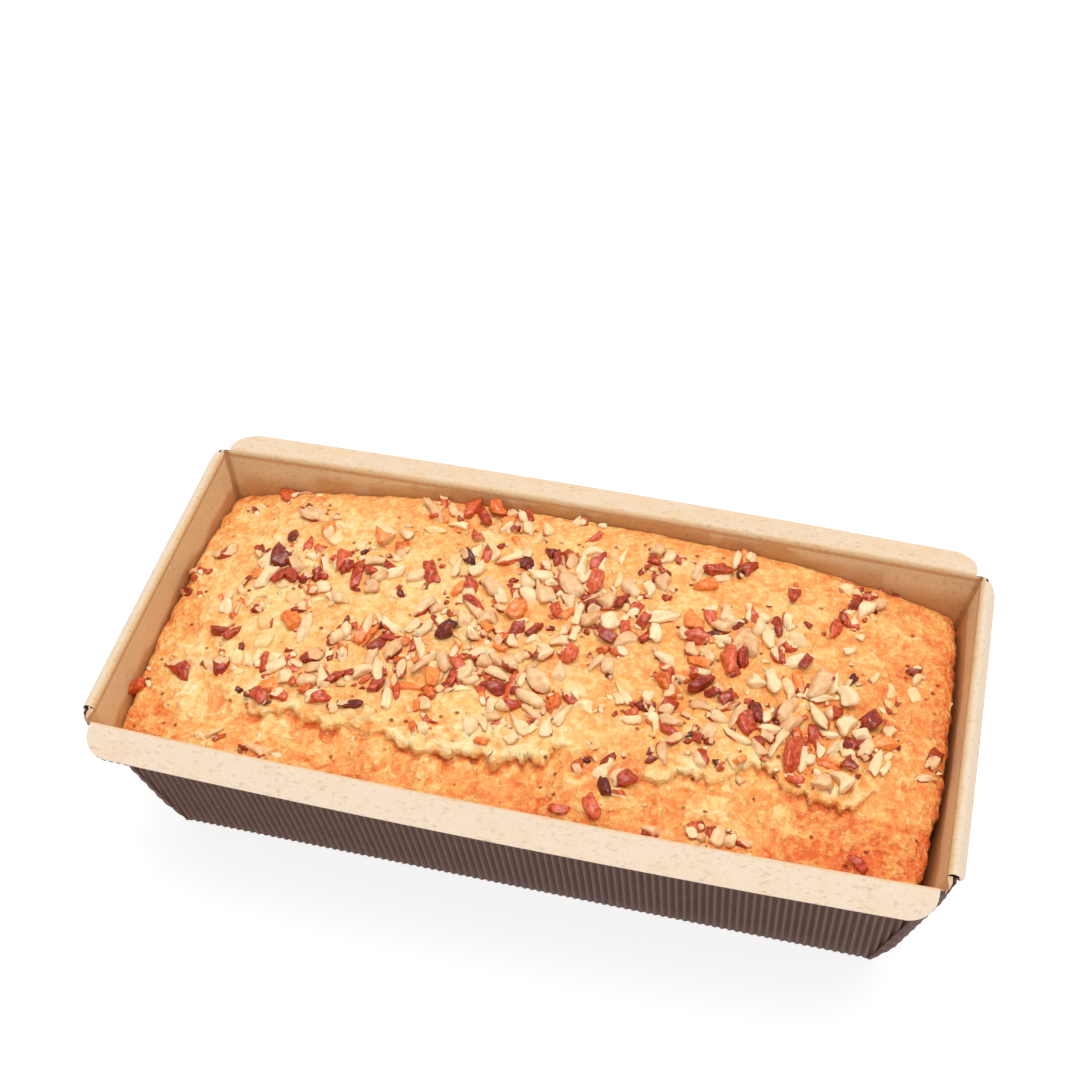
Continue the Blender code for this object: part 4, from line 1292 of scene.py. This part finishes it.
        (42, 1.2, 6, 3.4, 20), (42.6, -2.4, 7.5, 4.8, 75), (35.6, -12, 6, 3.8, 70),
        (50.2, -4.8, 5.5, 3.4, 60), (56.8, -12.3, 6.5, 4.4, 120), (69.6, -18.2, 9.5, 4.2, 92),
        (74.3, -9.2, 6, 3, 90), (76, -12.5, 7, 2.6, 112), (70.7, -24.8, 6, 2.6, 160),
        (37.2, -19.6, 6, 3, 165), (45.2, -19.8, 3.6, 3, 70), (48.9, -46.6, 5.6, 3.6, 95),
        (52.8, -45.8, 6, 1.8, 85), (88.3, -1.5, 6, 5, 45), (84.6, -9, 5, 3.6, 50),
        (84.8, -15.6, 5.4, 4, 70), (89, -12, 3, 2, 45), (106.2, -6.2, 7, 3.6, 75),
        (90.6, -44, 5.6, 2.8, 155), (86.1, 24.1, 1.8, 1.1, 70), (102.3, 13.1, 1.5, 0.9, 10),
    ),
    ChipKind.DARK: (
        (-99, 38.8, 4, 1.8, 125), (-83, 28.5, 4.6, 3, 70), (-83.8, 20.5, 8.5, 5.5, 95),
        (-30, 27.5, 6.8, 3, 125), (-28.3, 1, 4.6, 3.4, 60), (-46, -9.5, 6, 3.4, 60),
        (-47, -30, 6.8, 2.6, 0), (-28.5, -1.5, 4.8, 3.8, 60), (-13.2, 29.3, 5.5, 3.8, 110),
        (-7.5, 35.2, 4, 3.6, 60), (8.8, 17, 5, 4, 50), (24.8, -41.3, 5, 3, 120), (29, -13.6, 4, 3, 140),
        (79.2, 40, 8, 2.6, 65), (42.7, 15.3, 4, 3, 20), (48.9, 21, 4, 2.4, 80), (70.7, 3.5, 5, 2.4, 80),
        (81.3, 11.2, 5, 2.2, 60), (58.3, -7.8, 6.5, 3.6, 110), (34.7, -30, 3, 2, 60),
        (84.5, 39.4, 2.6, 1.6, 150), (97.9, 21.6, 4.6, 2.6, 40),
    ),
}


@dataclass
class CakeTop:
    """The cake's top as a height over the case, with every lump, lip and dip."""

    shape: CaseShape
    chips: Sequence[Chip] = ()
    gap: float = 0.9 * MM
    end_height: float = 46.4 * MM
    length_rise: float = 10.4 * MM
    width_rise: float = 2.4 * MM
    end_width_rise: float = 2.0 * MM
    roll_radius: float = 3.6 * MM
    roll_rise: float = 2.0 * MM
    corner: float = 3.4 * MM
    lip_step: float = 2.5 * MM
    # Front edge of the raised crust, in millimetres: along the loaf, then across it.
    lips: tuple[tuple[float, float], ...] = (
        (-80, -31), (-77, -32), (-73, -35), (-69.5, -35.5), (-68, -33.5), (-63, -33), (-61, -34.5),
        (-59, -35), (-55, -34.5), (-52.5, -38), (-50, -36.5), (-47, -35.5), (-44.5, -36), (-42, -36),
        (-40, -37.5), (-37, -38), (-33, -37), (-30, -38), (-27, -38.5), (-25.5, -39.3), (-24, -38),
        (-20, -38.5), (-17, -39), (-15, -37), (-12, -36.5), (-7, -38.5), (-5, -41), (-2, -37), (0, -36),
        (3, -36.5), (6, -36.5), (7.5, -35.5), (9, -33), (12, -31), (34, -34.5), (37.5, -34.5), (40.5, -33),
        (42, -30.5), (46, -31), (48.5, -31.3), (50.5, -32.7), (53, -31.3), (54.5, -28.8), (56.5, -27.3),
        (58.5, -26), (60, -23.5), (62, -22), (63, -21.5), (66, -24), (68, -27), (70.2, -28.3),
        (72.5, -27.3), (75, -27.5), (76.2, -29.8), (77.5, -28.3), (80, -28.5), (81.5, -30.5), (82.5, -29),
        (84, -28), (87, -26.5), (89, -25.5), (90.5, -22.5), (93, -21), (95, -14), (97, -8),
    )  # fmt: skip

    def rounded(self, x: Array, y: Array, half_x: Array, half_y: Array) -> tuple[Array, Array]:
        """Pull points of a rectangle into its rounded corners."""
        corner = np.where((x > 0) & (y < 0), 2.3, 1.0) * self.corner
        over_x = np.clip((np.abs(x) - half_x + corner) / corner, 0, 1)
        over_y = np.clip((np.abs(y) - half_y + corner) / corner, 0, 1)
        less_x = over_x * (1 - np.sqrt(1 - over_y**2 / 2)) * corner
        less_y = over_y * (1 - np.sqrt(1 - over_x**2 / 2)) * corner
        return x - np.sign(x) * less_x, y - np.sign(y) * less_y

    def lip_line(self, x: Array) -> Array:
        """Where the front edge of the raised crust runs, with its ragged teeth."""
        line = np.interp(x / MM, [p[0] for p in self.lips], [p[1] for p in self.lips])
        zero = np.zeros_like(x)
        teeth = 1.7 * drift(x, zero, 3.1, 12) + 1.3 * drift(x, zero, 1.5, 13)
        return (line + teeth) * MM

    def lip_depth(self, x: Array) -> Array:
        """How far the front band lies below the raised crust, at each place along the loaf."""
        a, b = self.lips[0][0] * MM, self.lips[-1][0] * MM
        ends = smooth((x - a) / (5 * MM)) * smooth((b - x) / (5 * MM))
        middle = 1 - 0.85 * smooth((x - 9 * MM) / (5 * MM)) * smooth((37 * MM - x) / (6 * MM))
        uneven = 0.9 + 0.55 * drift(x, 0 * x, 7, 14) + 0.3 * drift(x, 0 * x, 3, 15)
        return self.lip_step * ends * middle * uneven

    def points(self, u: Array, v: Array) -> tuple[Array, dict[str, Array]]:
        """Work out the top.

        Args:
            u: Shares of the half length, from -1 to 1.
            v: Shares of the half width, from -1 to 1.

        Returns:
            A point for each pair, and the layers "bake" and "seam".
        """
        shape = self.shape
        z_edge = self.end_height + self.length_rise * (1 - np.abs(u) ** 2.6)
        half_x, half_y = shape.half_x(z_edge) - self.gap, shape.half_y(z_edge) - self.gap
        x, y = self.rounded(u * half_x, v * half_y, half_x, half_y)
        x = x + u * shape.short_bulge(v, z_edge)
        y = y + v * shape.long_bulge(u, z_edge)
        side = np.minimum((1 - np.abs(u)) * half_x, (1 - np.abs(v)) * half_y)
        roll = 1 - np.clip(side / self.roll_radius, 0, 1)
        rise = self.end_width_rise + (self.width_rise - self.end_width_rise) * (1 - u**4)
        z = z_edge + self.roll_rise * np.sqrt(1 - roll**2) + rise * (1 - np.abs(v) ** 2.4)
        # The cake clings to three walls and has shrunk from the right one.
        near_y, near_x = smooth((np.abs(v) - 0.93) / 0.07), smooth((np.abs(u) - 0.96) / 0.04)
        y = y + np.sign(v) * near_y * (0.5 + 0.45 * drift(x, y, 3.4, 20) + 0.3 * drift(x, y, 1.3, 19)) * MM
        shrunk = smooth((-y - 22 * MM) / (5 * MM)) * smooth((y + 46 * MM) / (4 * MM))
        to_right = -0.2 - 1.0 * shrunk
        side_x = np.where(u < 0, -0.45, to_right) + 0.45 * drift(x, y, 3.8, 21) + 0.3 * drift(x, y, 1.4, 18)
        x = x + near_x * side_x * MM
        # Lip: how far behind its ragged edge a place is.
        behind = (y - self.lip_line(x)) / MM
        depth = self.lip_depth(x)
        part = depth / self.lip_step
        front = smooth(0.5 - behind / 1.2)
        curl = np.exp(-(((behind - 1.3) / 1.3) ** 2))
        z = z - depth * front * (1 - roll) * smooth(1 + (behind + 16) / 14) + 0.12 * drift(x, y, 2.2, 39) * curl * depth
        # Its edge hangs over the band in front, which goes on a little under it.
        y = y - (0.9 * np.exp(-(((behind - 0.3) / 0.6) ** 2)) - 0.6 * np.exp(-(((behind + 0.7) / 0.5) ** 2))) * part * MM
        # Lumps: strong in the front band and towards the ends, weak where the crust is smooth.
        band = smooth((-y - 26 * MM) / (8 * MM))
        right = smooth((x - 55 * MM) / (30 * MM))
        left = smooth((-x - 72 * MM) / (25 * MM))
        rough = np.clip(0.34 + 0.6 * band + 0.4 * right + 0.25 * left + 0.3 * drift(x, y, 13, 22), 0.2, 1.15)
        bent_x, bent_y = x + 1.5 * MM * drift(x, y, 3.4, 23), y + 1.5 * MM * drift(x, y, 3.4, 24)
        wide = blisters(bent_x, bent_y, 4.4, 25)
        small = blisters(bent_x, bent_y, 2.3, 27)
        tiny = blisters(x, y, 1.35, 17)
        knolls = blisters(bent_x, bent_y, 8.5, 16)
        lumps = 0.9 * knolls + 1.0 * wide + 0.7 * small + 0.32 * tiny
        # Crust that slid over crust leaves low ledges.
        slide = drift(x, y, 8, 35) + 0.35 * drift(x, y, 2.6, 36)
        ledges = 0.5 * smooth((slide - 0.12) / 0.1) + 0.4 * smooth((-slide - 0.2) / 0.1)
        broad = 0.55 * drift(x, y, 17, 28) + 0.4 * drift(x, y, 8, 29)
        fine = 0.14 * drift(x, y, 1.3, 30) + 0.08 * drift(x, y, 0.8, 31)
        keep = 0.35 + 0.65 * (1 - roll)
        z = z + (rough * (lumps + ledges * (0.4 + 0.6 * band)) + broad * (1 - roll) + fine) * keep * MM
        z = z - 0.95 * MM * rough * keep + self.dips(x, y)
        z = z + self.swell(x, y) * (1 - roll)
        # Browning, with a painted shadow under the lip edges and partly painted shade between the lumps.
        edge = np.exp(-side / (6 * MM))
        pale = np.exp(-(((x + 55 * MM) / (55 * MM)) ** 2 + ((y - 12 * MM) / (26 * MM)) ** 2))
        bake_and_shade = 0.38 + 0.2 * edge + 0.1 * band + 0.16 * right + 0.14 * right * band - 0.06 * pale
        bake_and_shade = bake_and_shade + 0.09 * drift(x, y, 22, 32) + 0.09 * drift(x, y, 7, 33) + 0.08 * drift(x, y, 2.4, 34)
        # Just behind its edge the raised crust is paler, and just in front of it, under the overhang, a painted shadow
        # darkens the band.
        rim = np.exp(-(((behind - 1.6) / 3.4) ** 2)) * smooth(behind + 1.0)
        bake_and_shade = bake_and_shade - (0.24 + 0.18 * drift(x, y, 2.4, 38)) * rim * part + 0.34 * part * np.exp(-(((behind + 1.1) / 0.8) ** 2))
        # Lump tops are paler and the crust between them darker: partly the crust's colour, partly painted shade in the
        # crevices.
        bake_and_shade = bake_and_shade + (0.27 - 0.3 * knolls - 0.45 * wide - 0.35 * small - 0.15 * tiny) * rough * 0.7
        seam = np.clip((0.5 - 1.3 * wide - 0.8 * small + 0.25 * drift(x, y, 2, 37)) * rough, 0, 1)
        return np.stack([x, y, z], -1), {"bake_and_shade": np.clip(bake_and_shade, 0, 1), "seam": seam}

    def dips(self, x: Array, y: Array) -> Array:
        """Holes and cracks in the crust: height that they take away."""
        depth = np.zeros_like(x)
        for a, b, wide, tall, deep in (
            (-4.9, -34.4, 1.8, 0.9, 2.6),
            (107.6, 45.8, 1.6, 1.6, 5.0),
            (109, 30, 0.8, 1.2, 3.0),
            (-5, -40, 3.5, 1.2, 1.0),
            (1, -38, 4.0, 1.0, 0.9),
            (-30, 34, 6.0, 2.5, 0.4),
            (66, 30, 7.0, 3.0, 0.4),
        ):
            far = ((x / MM - a) / wide) ** 2 + ((y / MM - b) / tall) ** 2
            depth -= deep * MM * np.exp(-far)
        return depth

    def swell(self, x: Array, y: Array) -> Array:
        """How far the crust has risen round the chips that are baked into it."""
        rise = np.zeros_like(x)
        for chip in self.chips:
            if chip.lift > 0 or chip.long < 2.5 * MM:
                continue
            near = (np.abs(x - chip.x) < 1.3 * chip.long) & (np.abs(y - chip.y) < 1.3 * chip.long)
            a, b = x[near] - chip.x, y[near] - chip.y
            turn = math.radians(chip.turn)
            along = (a * math.cos(turn) + b * math.sin(turn)) / (chip.long * 0.6)
            aside = (b * math.cos(turn) - a * math.sin(turn)) / (chip.wide * 0.7)
            rise[near] = np.maximum(rise[near], chip.sunk * 0.7 * MM * np.exp(-(along**2) - aside**2))
        return rise


@dataclass
class Cake:
    """The loaf of cake: its top, sides and bottom as one solid."""

    top: CakeTop
    columns: int = 400
    rows: int = 210
    floor: float = 1.8 * MM

    def spread(self, count: int, pull: float) -> Array:
        """Places from -1 to 1, closer together near the ends."""
        s = np.linspace(-1, 1, count)
        return s * (1 + pull) - pull * s**3

    def build(self) -> bpy.types.Object:
        """Make the cake.

        Returns:
            The cake as one closed mesh.
        """
        u, v = np.meshgrid(self.spread(self.columns, 0.1), self.spread(self.rows, 0.12))
        points, layers = self.top.points(u, v)
        count = self.columns * self.rows
        grid = np.arange(count).reshape(self.rows, self.columns)
        faces = [tuple(f) for f in Net(points).faces(0)]
        rim = np.concatenate([grid[0, :-1], grid[:-1, -1], grid[-1, :0:-1], grid[:0:-1, 0]])
        flat = points.reshape(-1, 3)
        bake_and_shade, seam = layers["bake_and_shade"].ravel(), layers["seam"].ravel()
        edge = flat[rim]
        rings, tones = [flat], [bake_and_shade]
        below = rim
        lows = (0.985, 0.93, 0.6, 0.3, 0.06, 0.0)
        shape = self.top.shape
        share_x = np.clip(edge[:, 0] / shape.half_x(edge[:, 2]), -1, 1)
        share_y = np.clip(edge[:, 1] / shape.half_y(edge[:, 2]), -1, 1)
        for k, share in enumerate(lows):
            z = self.floor + (edge[:, 2] - self.floor) * share
            ring = []
            for place, along, across, half, bulge in (
                (edge[:, 0], share_y, share_x, shape.half_x, shape.short_bulge),
                (edge[:, 1], share_x, share_y, shape.half_y, shape.long_bulge),
            ):
                # How far inside the bowed wall the top's edge is, kept on the way down.
                wall = half(edge[:, 2]) + bulge(along, edge[:, 2])
                lower = half(z) + bulge(along, z)
                inside = np.maximum(wall - np.abs(place), 0.35 * MM)
                near = smooth((np.abs(across) - 0.9) / 0.06)
                kept = lower - inside
                scaled = np.abs(place) * lower / wall
                reach = kept * near + scaled * (1 - near) - (1.5 * MM if share == 0 else 0.0)
                ring.append(np.sign(place) * np.minimum(reach, lower - 0.35 * MM))
            ring = np.stack([ring[0], ring[1], z], -1)
            numbers = count + k * len(rim) + np.arange(len(rim))
            faces += list(zip(numbers, np.roll(numbers, -1), np.roll(below, -1), below))
            rings.append(ring)
            tones.append(np.full(len(rim), 0.8))
            below = numbers
        faces.append(tuple(below[::-1]))
        layers = {
            "bake_and_shade": np.concatenate(tones),
            "seam": np.concatenate([seam, np.zeros(len(rim) * len(lows))]),
        }
        return new_piece("cake_loaf", np.concatenate(rings), faces, layers, BakedCrust().make())


@dataclass
class NutTopping:
    """Chopped pecans over the cake: the laid chips, and crumbs of them in between."""

    shape: CaseShape
    top: float
    seed: int = 7
    shapes: int = 30
    crumbs: int = 620
    crumb_size: float = 2.9 * MM

    def scatter(self) -> list[Chip]:
        """Lay the chips, and let crumbs fall beside some of them.

        Returns:
            Every chip and crumb.
        """
        rng = np.random.default_rng(self.seed)
        chips: list[Chip] = []
        for kind, rows in LAID.items():
            for x, y, long, wide, turn in rows:
                near = [c for c in chips if math.hypot(c.x / MM - x, c.y / MM - y) < 0.42 * (c.wide / MM + wide)]
                lift = min(0.55 * len(near), 1.1) * MM
                sunk = rng.uniform(0.72, 0.95) if kind is ChipKind.SUNK else rng.uniform(0.15, 0.6)
                chips.append(Chip(x * MM, y * MM, long * MM, wide * MM, turn, kind, sunk, lift))
        hosts = list(chips)
        for _ in range(self.crumbs):
            host = hosts[int(rng.integers(len(hosts)))]
            angle = rng.uniform(0, 2 * math.pi)
            away = host.long * rng.uniform(0.45, 1.2)
            size = rng.uniform(0.9, 2.8) * MM
            kind = rng.choice([ChipKind.FLESH, ChipKind.SKIN, ChipKind.DARK], p=[0.55, 0.37, 0.08])
            x = host.x + away * math.cos(angle)
            y = max(host.y + away * math.sin(angle), -50 * MM)
            turn = rng.uniform(0, 180)
            chips.append(Chip(x, y, size, size * rng.uniform(0.5, 0.9), turn, kind, rng.uniform(0.2, 0.6), 0.0))
        return chips

    def keep_inside(self, points: Array) -> None:
        """Press the points of a chip back to the case's inner faces, 0.2 mm off them.

        Args:
            points: Points of the chip, which are changed.
        """
        z = np.clip(points[:, 2], 0, self.shape.top())
        half_x, half_y = self.shape.half_x(z), self.shape.half_y(z)
        share_x = np.clip(points[:, 0] / half_x, -1, 1)
        share_y = np.clip(points[:, 1] / half_y, -1, 1)
        most_x = half_x + self.shape.short_bulge(share_y, z) - 0.2 * MM
        most_y = half_y + self.shape.long_bulge(share_x, z) - 0.2 * MM
        points[:, 0] = np.clip(points[:, 0], -most_x, most_x)
        points[:, 1] = np.clip(points[:, 1], -most_y, most_y)

    def unit_shape(self, kind: ChipKind, rng: np.random.Generator, detail: int) -> tuple[Array, Array, Array]:
        """Model one broken chip in a box of one by one by one.

        Args:
            kind: What shows on the chip.
            rng: Source of its irregularity.
            detail: Steps by which the ball that it is cut from is divided.

        Returns:
            Points, triangles and how far inside the skin each point is.
        """
        bm = bmesh.new()
        bmesh.ops.create_icosphere(bm, subdivisions=detail, radius=1.0)
        twist = Matrix.Rotation(rng.uniform(0, 6), 4, Vector(rng.normal(size=3)))
        bmesh.ops.transform(bm, matrix=twist, verts=bm.verts)
        ball = np.array([v.co[:] for v in bm.verts])
        faces = np.array([[v.index for v in f.verts] for f in bm.faces])
        bm.free()
        skinned = kind in (ChipKind.SKIN, ChipKind.AMBER, ChipKind.DARK)
        points = np.sign(ball) * np.abs(ball) ** (0.62 if skinned else 0.85)
        # Kernel surface: rounded ridges along the chip.
        ridges = rng.uniform(3.0, 5.5)
        ridge = 0.09 * np.cos(points[:, 1] * ridges + rng.uniform(0, 6)) * (points[:, 2] > -0.2)
        points = points * (1 + ridge * (1.0 if skinned else 0.4))[:, None]
        # Broken faces: each cut flattens what lies past it, and some cuts bare the flesh.
        bare = np.zeros(len(points))
        cuts = [(0.0, 0.55), (math.pi, 0.55)]
        cuts += [(rng.uniform(0, 2 * math.pi), 0.68) for _ in range(int(rng.integers(1, 4)))]
        for number, (spin, depth) in enumerate(cuts):
            spin += rng.normal() * 0.4
            way = np.array([math.cos(spin), math.sin(spin), rng.uniform(-0.5, 0.8)])
            way /= np.linalg.norm(way)
            over = points @ way - depth * rng.uniform(0.8, 1.25)
            points = points - np.where(over > 0, over * (0.94 if skinned else 0.8), 0)[:, None] * way
            if not skinned or (number < 2 and rng.random() < 0.45):
                bare = np.maximum(bare, np.clip(over * 6, 0, 1))
        if not skinned:
            # Flesh often breaks with a waist, like a little bone, and with a groove along its top.
            waist = rng.uniform(-0.1, 0.5)
            middle = rng.normal() * 0.25
            points[:, 1] *= 1 - max(waist, 0) * np.exp(-(((points[:, 0] - middle) / 0.4) ** 2))
            taper = rng.uniform(-0.35, 0.35)
            points[:, 1] *= 1 + taper * points[:, 0]
            groove = rng.uniform(0, 0.4)
            aside = points[:, 1] - rng.normal() * 0.25
            points[:, 2] -= groove * np.exp(-((aside / 0.22) ** 2)) * (points[:, 2] > 0)
        # Kernels curl, so chips bend, and no two edges are alike.
        points[:, 1] += rng.uniform(-0.75, 0.75) * points[:, 0] ** 2 * (0.6 if skinned else 1.0)
        points[:, 2] += rng.uniform(-0.4, 0.2) * points[:, 0] ** 2
        phase = rng.uniform(0, 6, 2)
        wave = np.sin(points @ (3.1, 2.2, 1.4) + phase[0]) + np.sin(points @ (-2.3, 4.3, 2.6) + phase[1])
        points = points * (1 + 0.07 * wave)[:, None]
        low, high = points.min(0), points.max(0)
        points = (points - (low + high) / 2) / (high - low)
        spin = rng.uniform(0, 2 * math.pi)
        side = np.array([math.cos(spin), math.sin(spin), 0])
        if skinned:
            skin = points[:, 2] * 0.6 + rng.uniform(0.25, 0.4) - 0.8 * bare
        elif kind is ChipKind.HALF:
            skin = points @ side + 0.25 * points[:, 2] + rng.uniform(-0.08, 0.1)
        else:
            skin = points @ (side * 0.75) - points[:, 2] * 0.5 - rng.uniform(0.0, 0.42) - 0.15 * bare
        return points, faces, skin

    def build(self, cake: bpy.types.Object, chips: Sequence[Chip]) -> list[bpy.types.Object]:
        """Lay the chips on the cake.

        Args:
            cake: The cake that they lie on.
            chips: Where they lie.

        Returns:
            One piece for each kind of chip.
        """
        rng = np.random.default_rng(self.seed + 1)
        tree = BVHTree.FromObject(cake, bpy.context.evaluated_depsgraph_get())
        pieces = []
        for kind in ChipKind:
            material = PecanKernel.of(kind).make()
            library = [self.unit_shape(kind, rng, 3) for _ in range(self.shapes)]
            bits = [self.unit_shape(kind, rng, 2) for _ in range(self.shapes)]
            points, faces, skins, tints = [], [], [], []
            start = 0
            for chip in (c for c in chips if c.kind is kind):
                pool = library if chip.long > self.crumb_size else bits
                shape, triangles, skin = pool[int(rng.integers(len(pool)))]
                hit, normal, _, _ = tree.ray_cast(Vector((chip.x, chip.y, 0.2)), Vector((0, 0, -1)))
                if hit is None:
                    continue
                thick = chip.wide * rng.uniform(0.6, 0.85)
                lean = 0.1 + 100 * chip.lift
                tilt = Vector((rng.normal() * lean, rng.normal() * lean, 1.0)) + normal
                aim = Vector((0, 0, 1)).rotation_difference(tilt.normalized()).to_matrix()
                turn = aim @ Matrix.Rotation(math.radians(chip.turn), 3, "Z")
                placed = (shape * (chip.long * 1.14, chip.wide * 1.1, thick)) @ np.array(turn).T
                placed += np.array(hit) + np.array(normal) * (thick * (0.5 - 0.8 * chip.sunk) + chip.lift)
                placed[:, 2] -= max(placed[:, 2].max() - self.top, 0)
                self.keep_inside(placed)
                points.append(placed)
                faces.append(triangles + start)
                start += len(shape)
                skins.append(np.clip(0.5 + skin * chip.wide / (0.35 * MM), 0, 1))
                tints.append(np.full(len(shape), rng.uniform(0, 1)))
            layers = {"skin": np.concatenate(skins), "tint": np.concatenate(tints)}
            pieces.append(
                new_piece(
                    f"pecan_chips_{kind.value}",
                    np.concatenate(points),
                    np.concatenate(faces),
                    layers,
                    material,
                )
            )
        return pieces


@dataclass
class Studio:
    """Pale floor, soft lights and the camera, which looks down from the front right."""

    spot: tuple[float, float, float] = (79.70 * MM, -315.73 * MM, 454.08 * MM)
    pitch: float = math.radians(47.03)
    yaw: float = math.radians(-14.46)
    roll: float = math.radians(-0.95)
    lens: float = 62.43

    def add_camera(self) -> None:
        """Place the camera and make it the scene's."""
        ahead = Vector(
            (
                math.sin(self.yaw) * math.cos(self.pitch),
                math.cos(self.yaw) * math.cos(self.pitch),
                -math.sin(self.pitch),
            )
        )
        level = ahead.cross(Vector((0, 0, 1))).normalized()
        up = level.cross(ahead)
        right = level * math.cos(self.roll) + up * math.sin(self.roll)
        above = right.cross(ahead)
        data = bpy.data.cameras.new("camera")
        data.lens = self.lens
        data.sensor_width = 36
        data.clip_start = 0.01
        camera = bpy.data.objects.new("camera", data)
        turn = Matrix((right, above, -ahead)).transposed().to_4x4()
        camera.matrix_world = Matrix.Translation(self.spot) @ turn
        bpy.context.scene.collection.objects.link(camera)
        bpy.context.scene.camera = camera

    def add_sun(self, name: str, away: tuple[float, float, float], angle: float, power: float, tone: str) -> None:
        """Add a broad lamp so far off that it lights the whole floor alike.

        Args:
            name: Name of the lamp.
            away: Direction from the loaf to the lamp.
            angle: How wide the lamp looks from the loaf, in degrees.
            power: Strength in watts per square metre.
            tone: Colour as an sRGB hex value.
        """
        lamp = bpy.data.lights.new(name, "SUN")
        lamp.energy, lamp.angle = power, math.radians(angle)
        lamp.color = linear(tone)[:3]
        place = bpy.data.objects.new(name, lamp)
        place.location = away
        place.rotation_euler = Vector(away).to_track_quat("Z", "Y").to_euler()
        bpy.context.scene.collection.objects.link(place)

    def add_floor(self) -> bpy.types.Object:
        """Lay the floor.

        Returns:
            The floor.
        """
        finish = Finish("floor_paint", 0.9)
        material, _, shader = finish.start()
        shader.inputs["Base Color"].default_value = linear("#909090")
        # The table is lit from below a little, as for a cut-out on white.
        shader.inputs["Emission Color"].default_value = linear("#FFFFFF")
        shader.inputs["Emission Strength"].default_value = 0.82
        bm = bmesh.new()
        bmesh.ops.create_circle(bm, cap_ends=True, radius=6.0, segments=96)
        mesh = bpy.data.meshes.new("floor")
        bm.to_mesh(mesh)
        bm.free()
        mesh.materials.append(material)
        floor = bpy.data.objects.new("floor", mesh)
        bpy.context.scene.collection.objects.link(floor)
        return floor

    def build(self) -> bpy.types.Object:
        """Set up the studio.

        Returns:
            The floor.
        """
        self.add_camera()
        self.add_sun("key", (0.12, 0.06, 1.0), 38.0, 1.6, "#FFFBF6")
        # A smaller lamp behind gives oil and butter their glints.
        self.add_sun("glint", (-0.1, 0.7, 1.0), 9.0, 0.3, "#FFFFFF")
        world = bpy.data.worlds.new("studio")
        world.use_nodes = True
        background = world.node_tree.nodes["Background"]
        background.inputs["Color"].default_value = (1.0, 1.0, 1.0, 1.0)
        background.inputs["Strength"].default_value = 0.66
        bpy.context.scene.world = world
        bpy.context.scene.view_settings.view_transform = "Standard"
        return self.add_floor()


def main() -> None:
    """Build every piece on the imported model."""
    logging.basicConfig(level=logging.INFO, format="%(name)s: %(message)s")
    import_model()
    cad_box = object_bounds()
    Studio().build()
    shape = CaseShape()
    for piece in PaperCase(shape).build():
        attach(piece, "root")
        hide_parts("paper_case")
        LOG.info("%s: %d faces", piece.name, len(piece.data.polygons))
    topping = NutTopping(shape, top=cad_box[1][2] + 1.6 * MM)
    chips = topping.scatter()
    cake = Cake(CakeTop(shape, chips)).build()
    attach(cake, "root")
    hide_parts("cake")
    LOG.info("%s: %d faces", cake.name, len(cake.data.polygons))
    for piece in topping.build(cake, chips):
        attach(piece, "root")
        LOG.info("%s: %d faces", piece.name, len(piece.data.polygons))


if __name__ == "__main__":
    main()
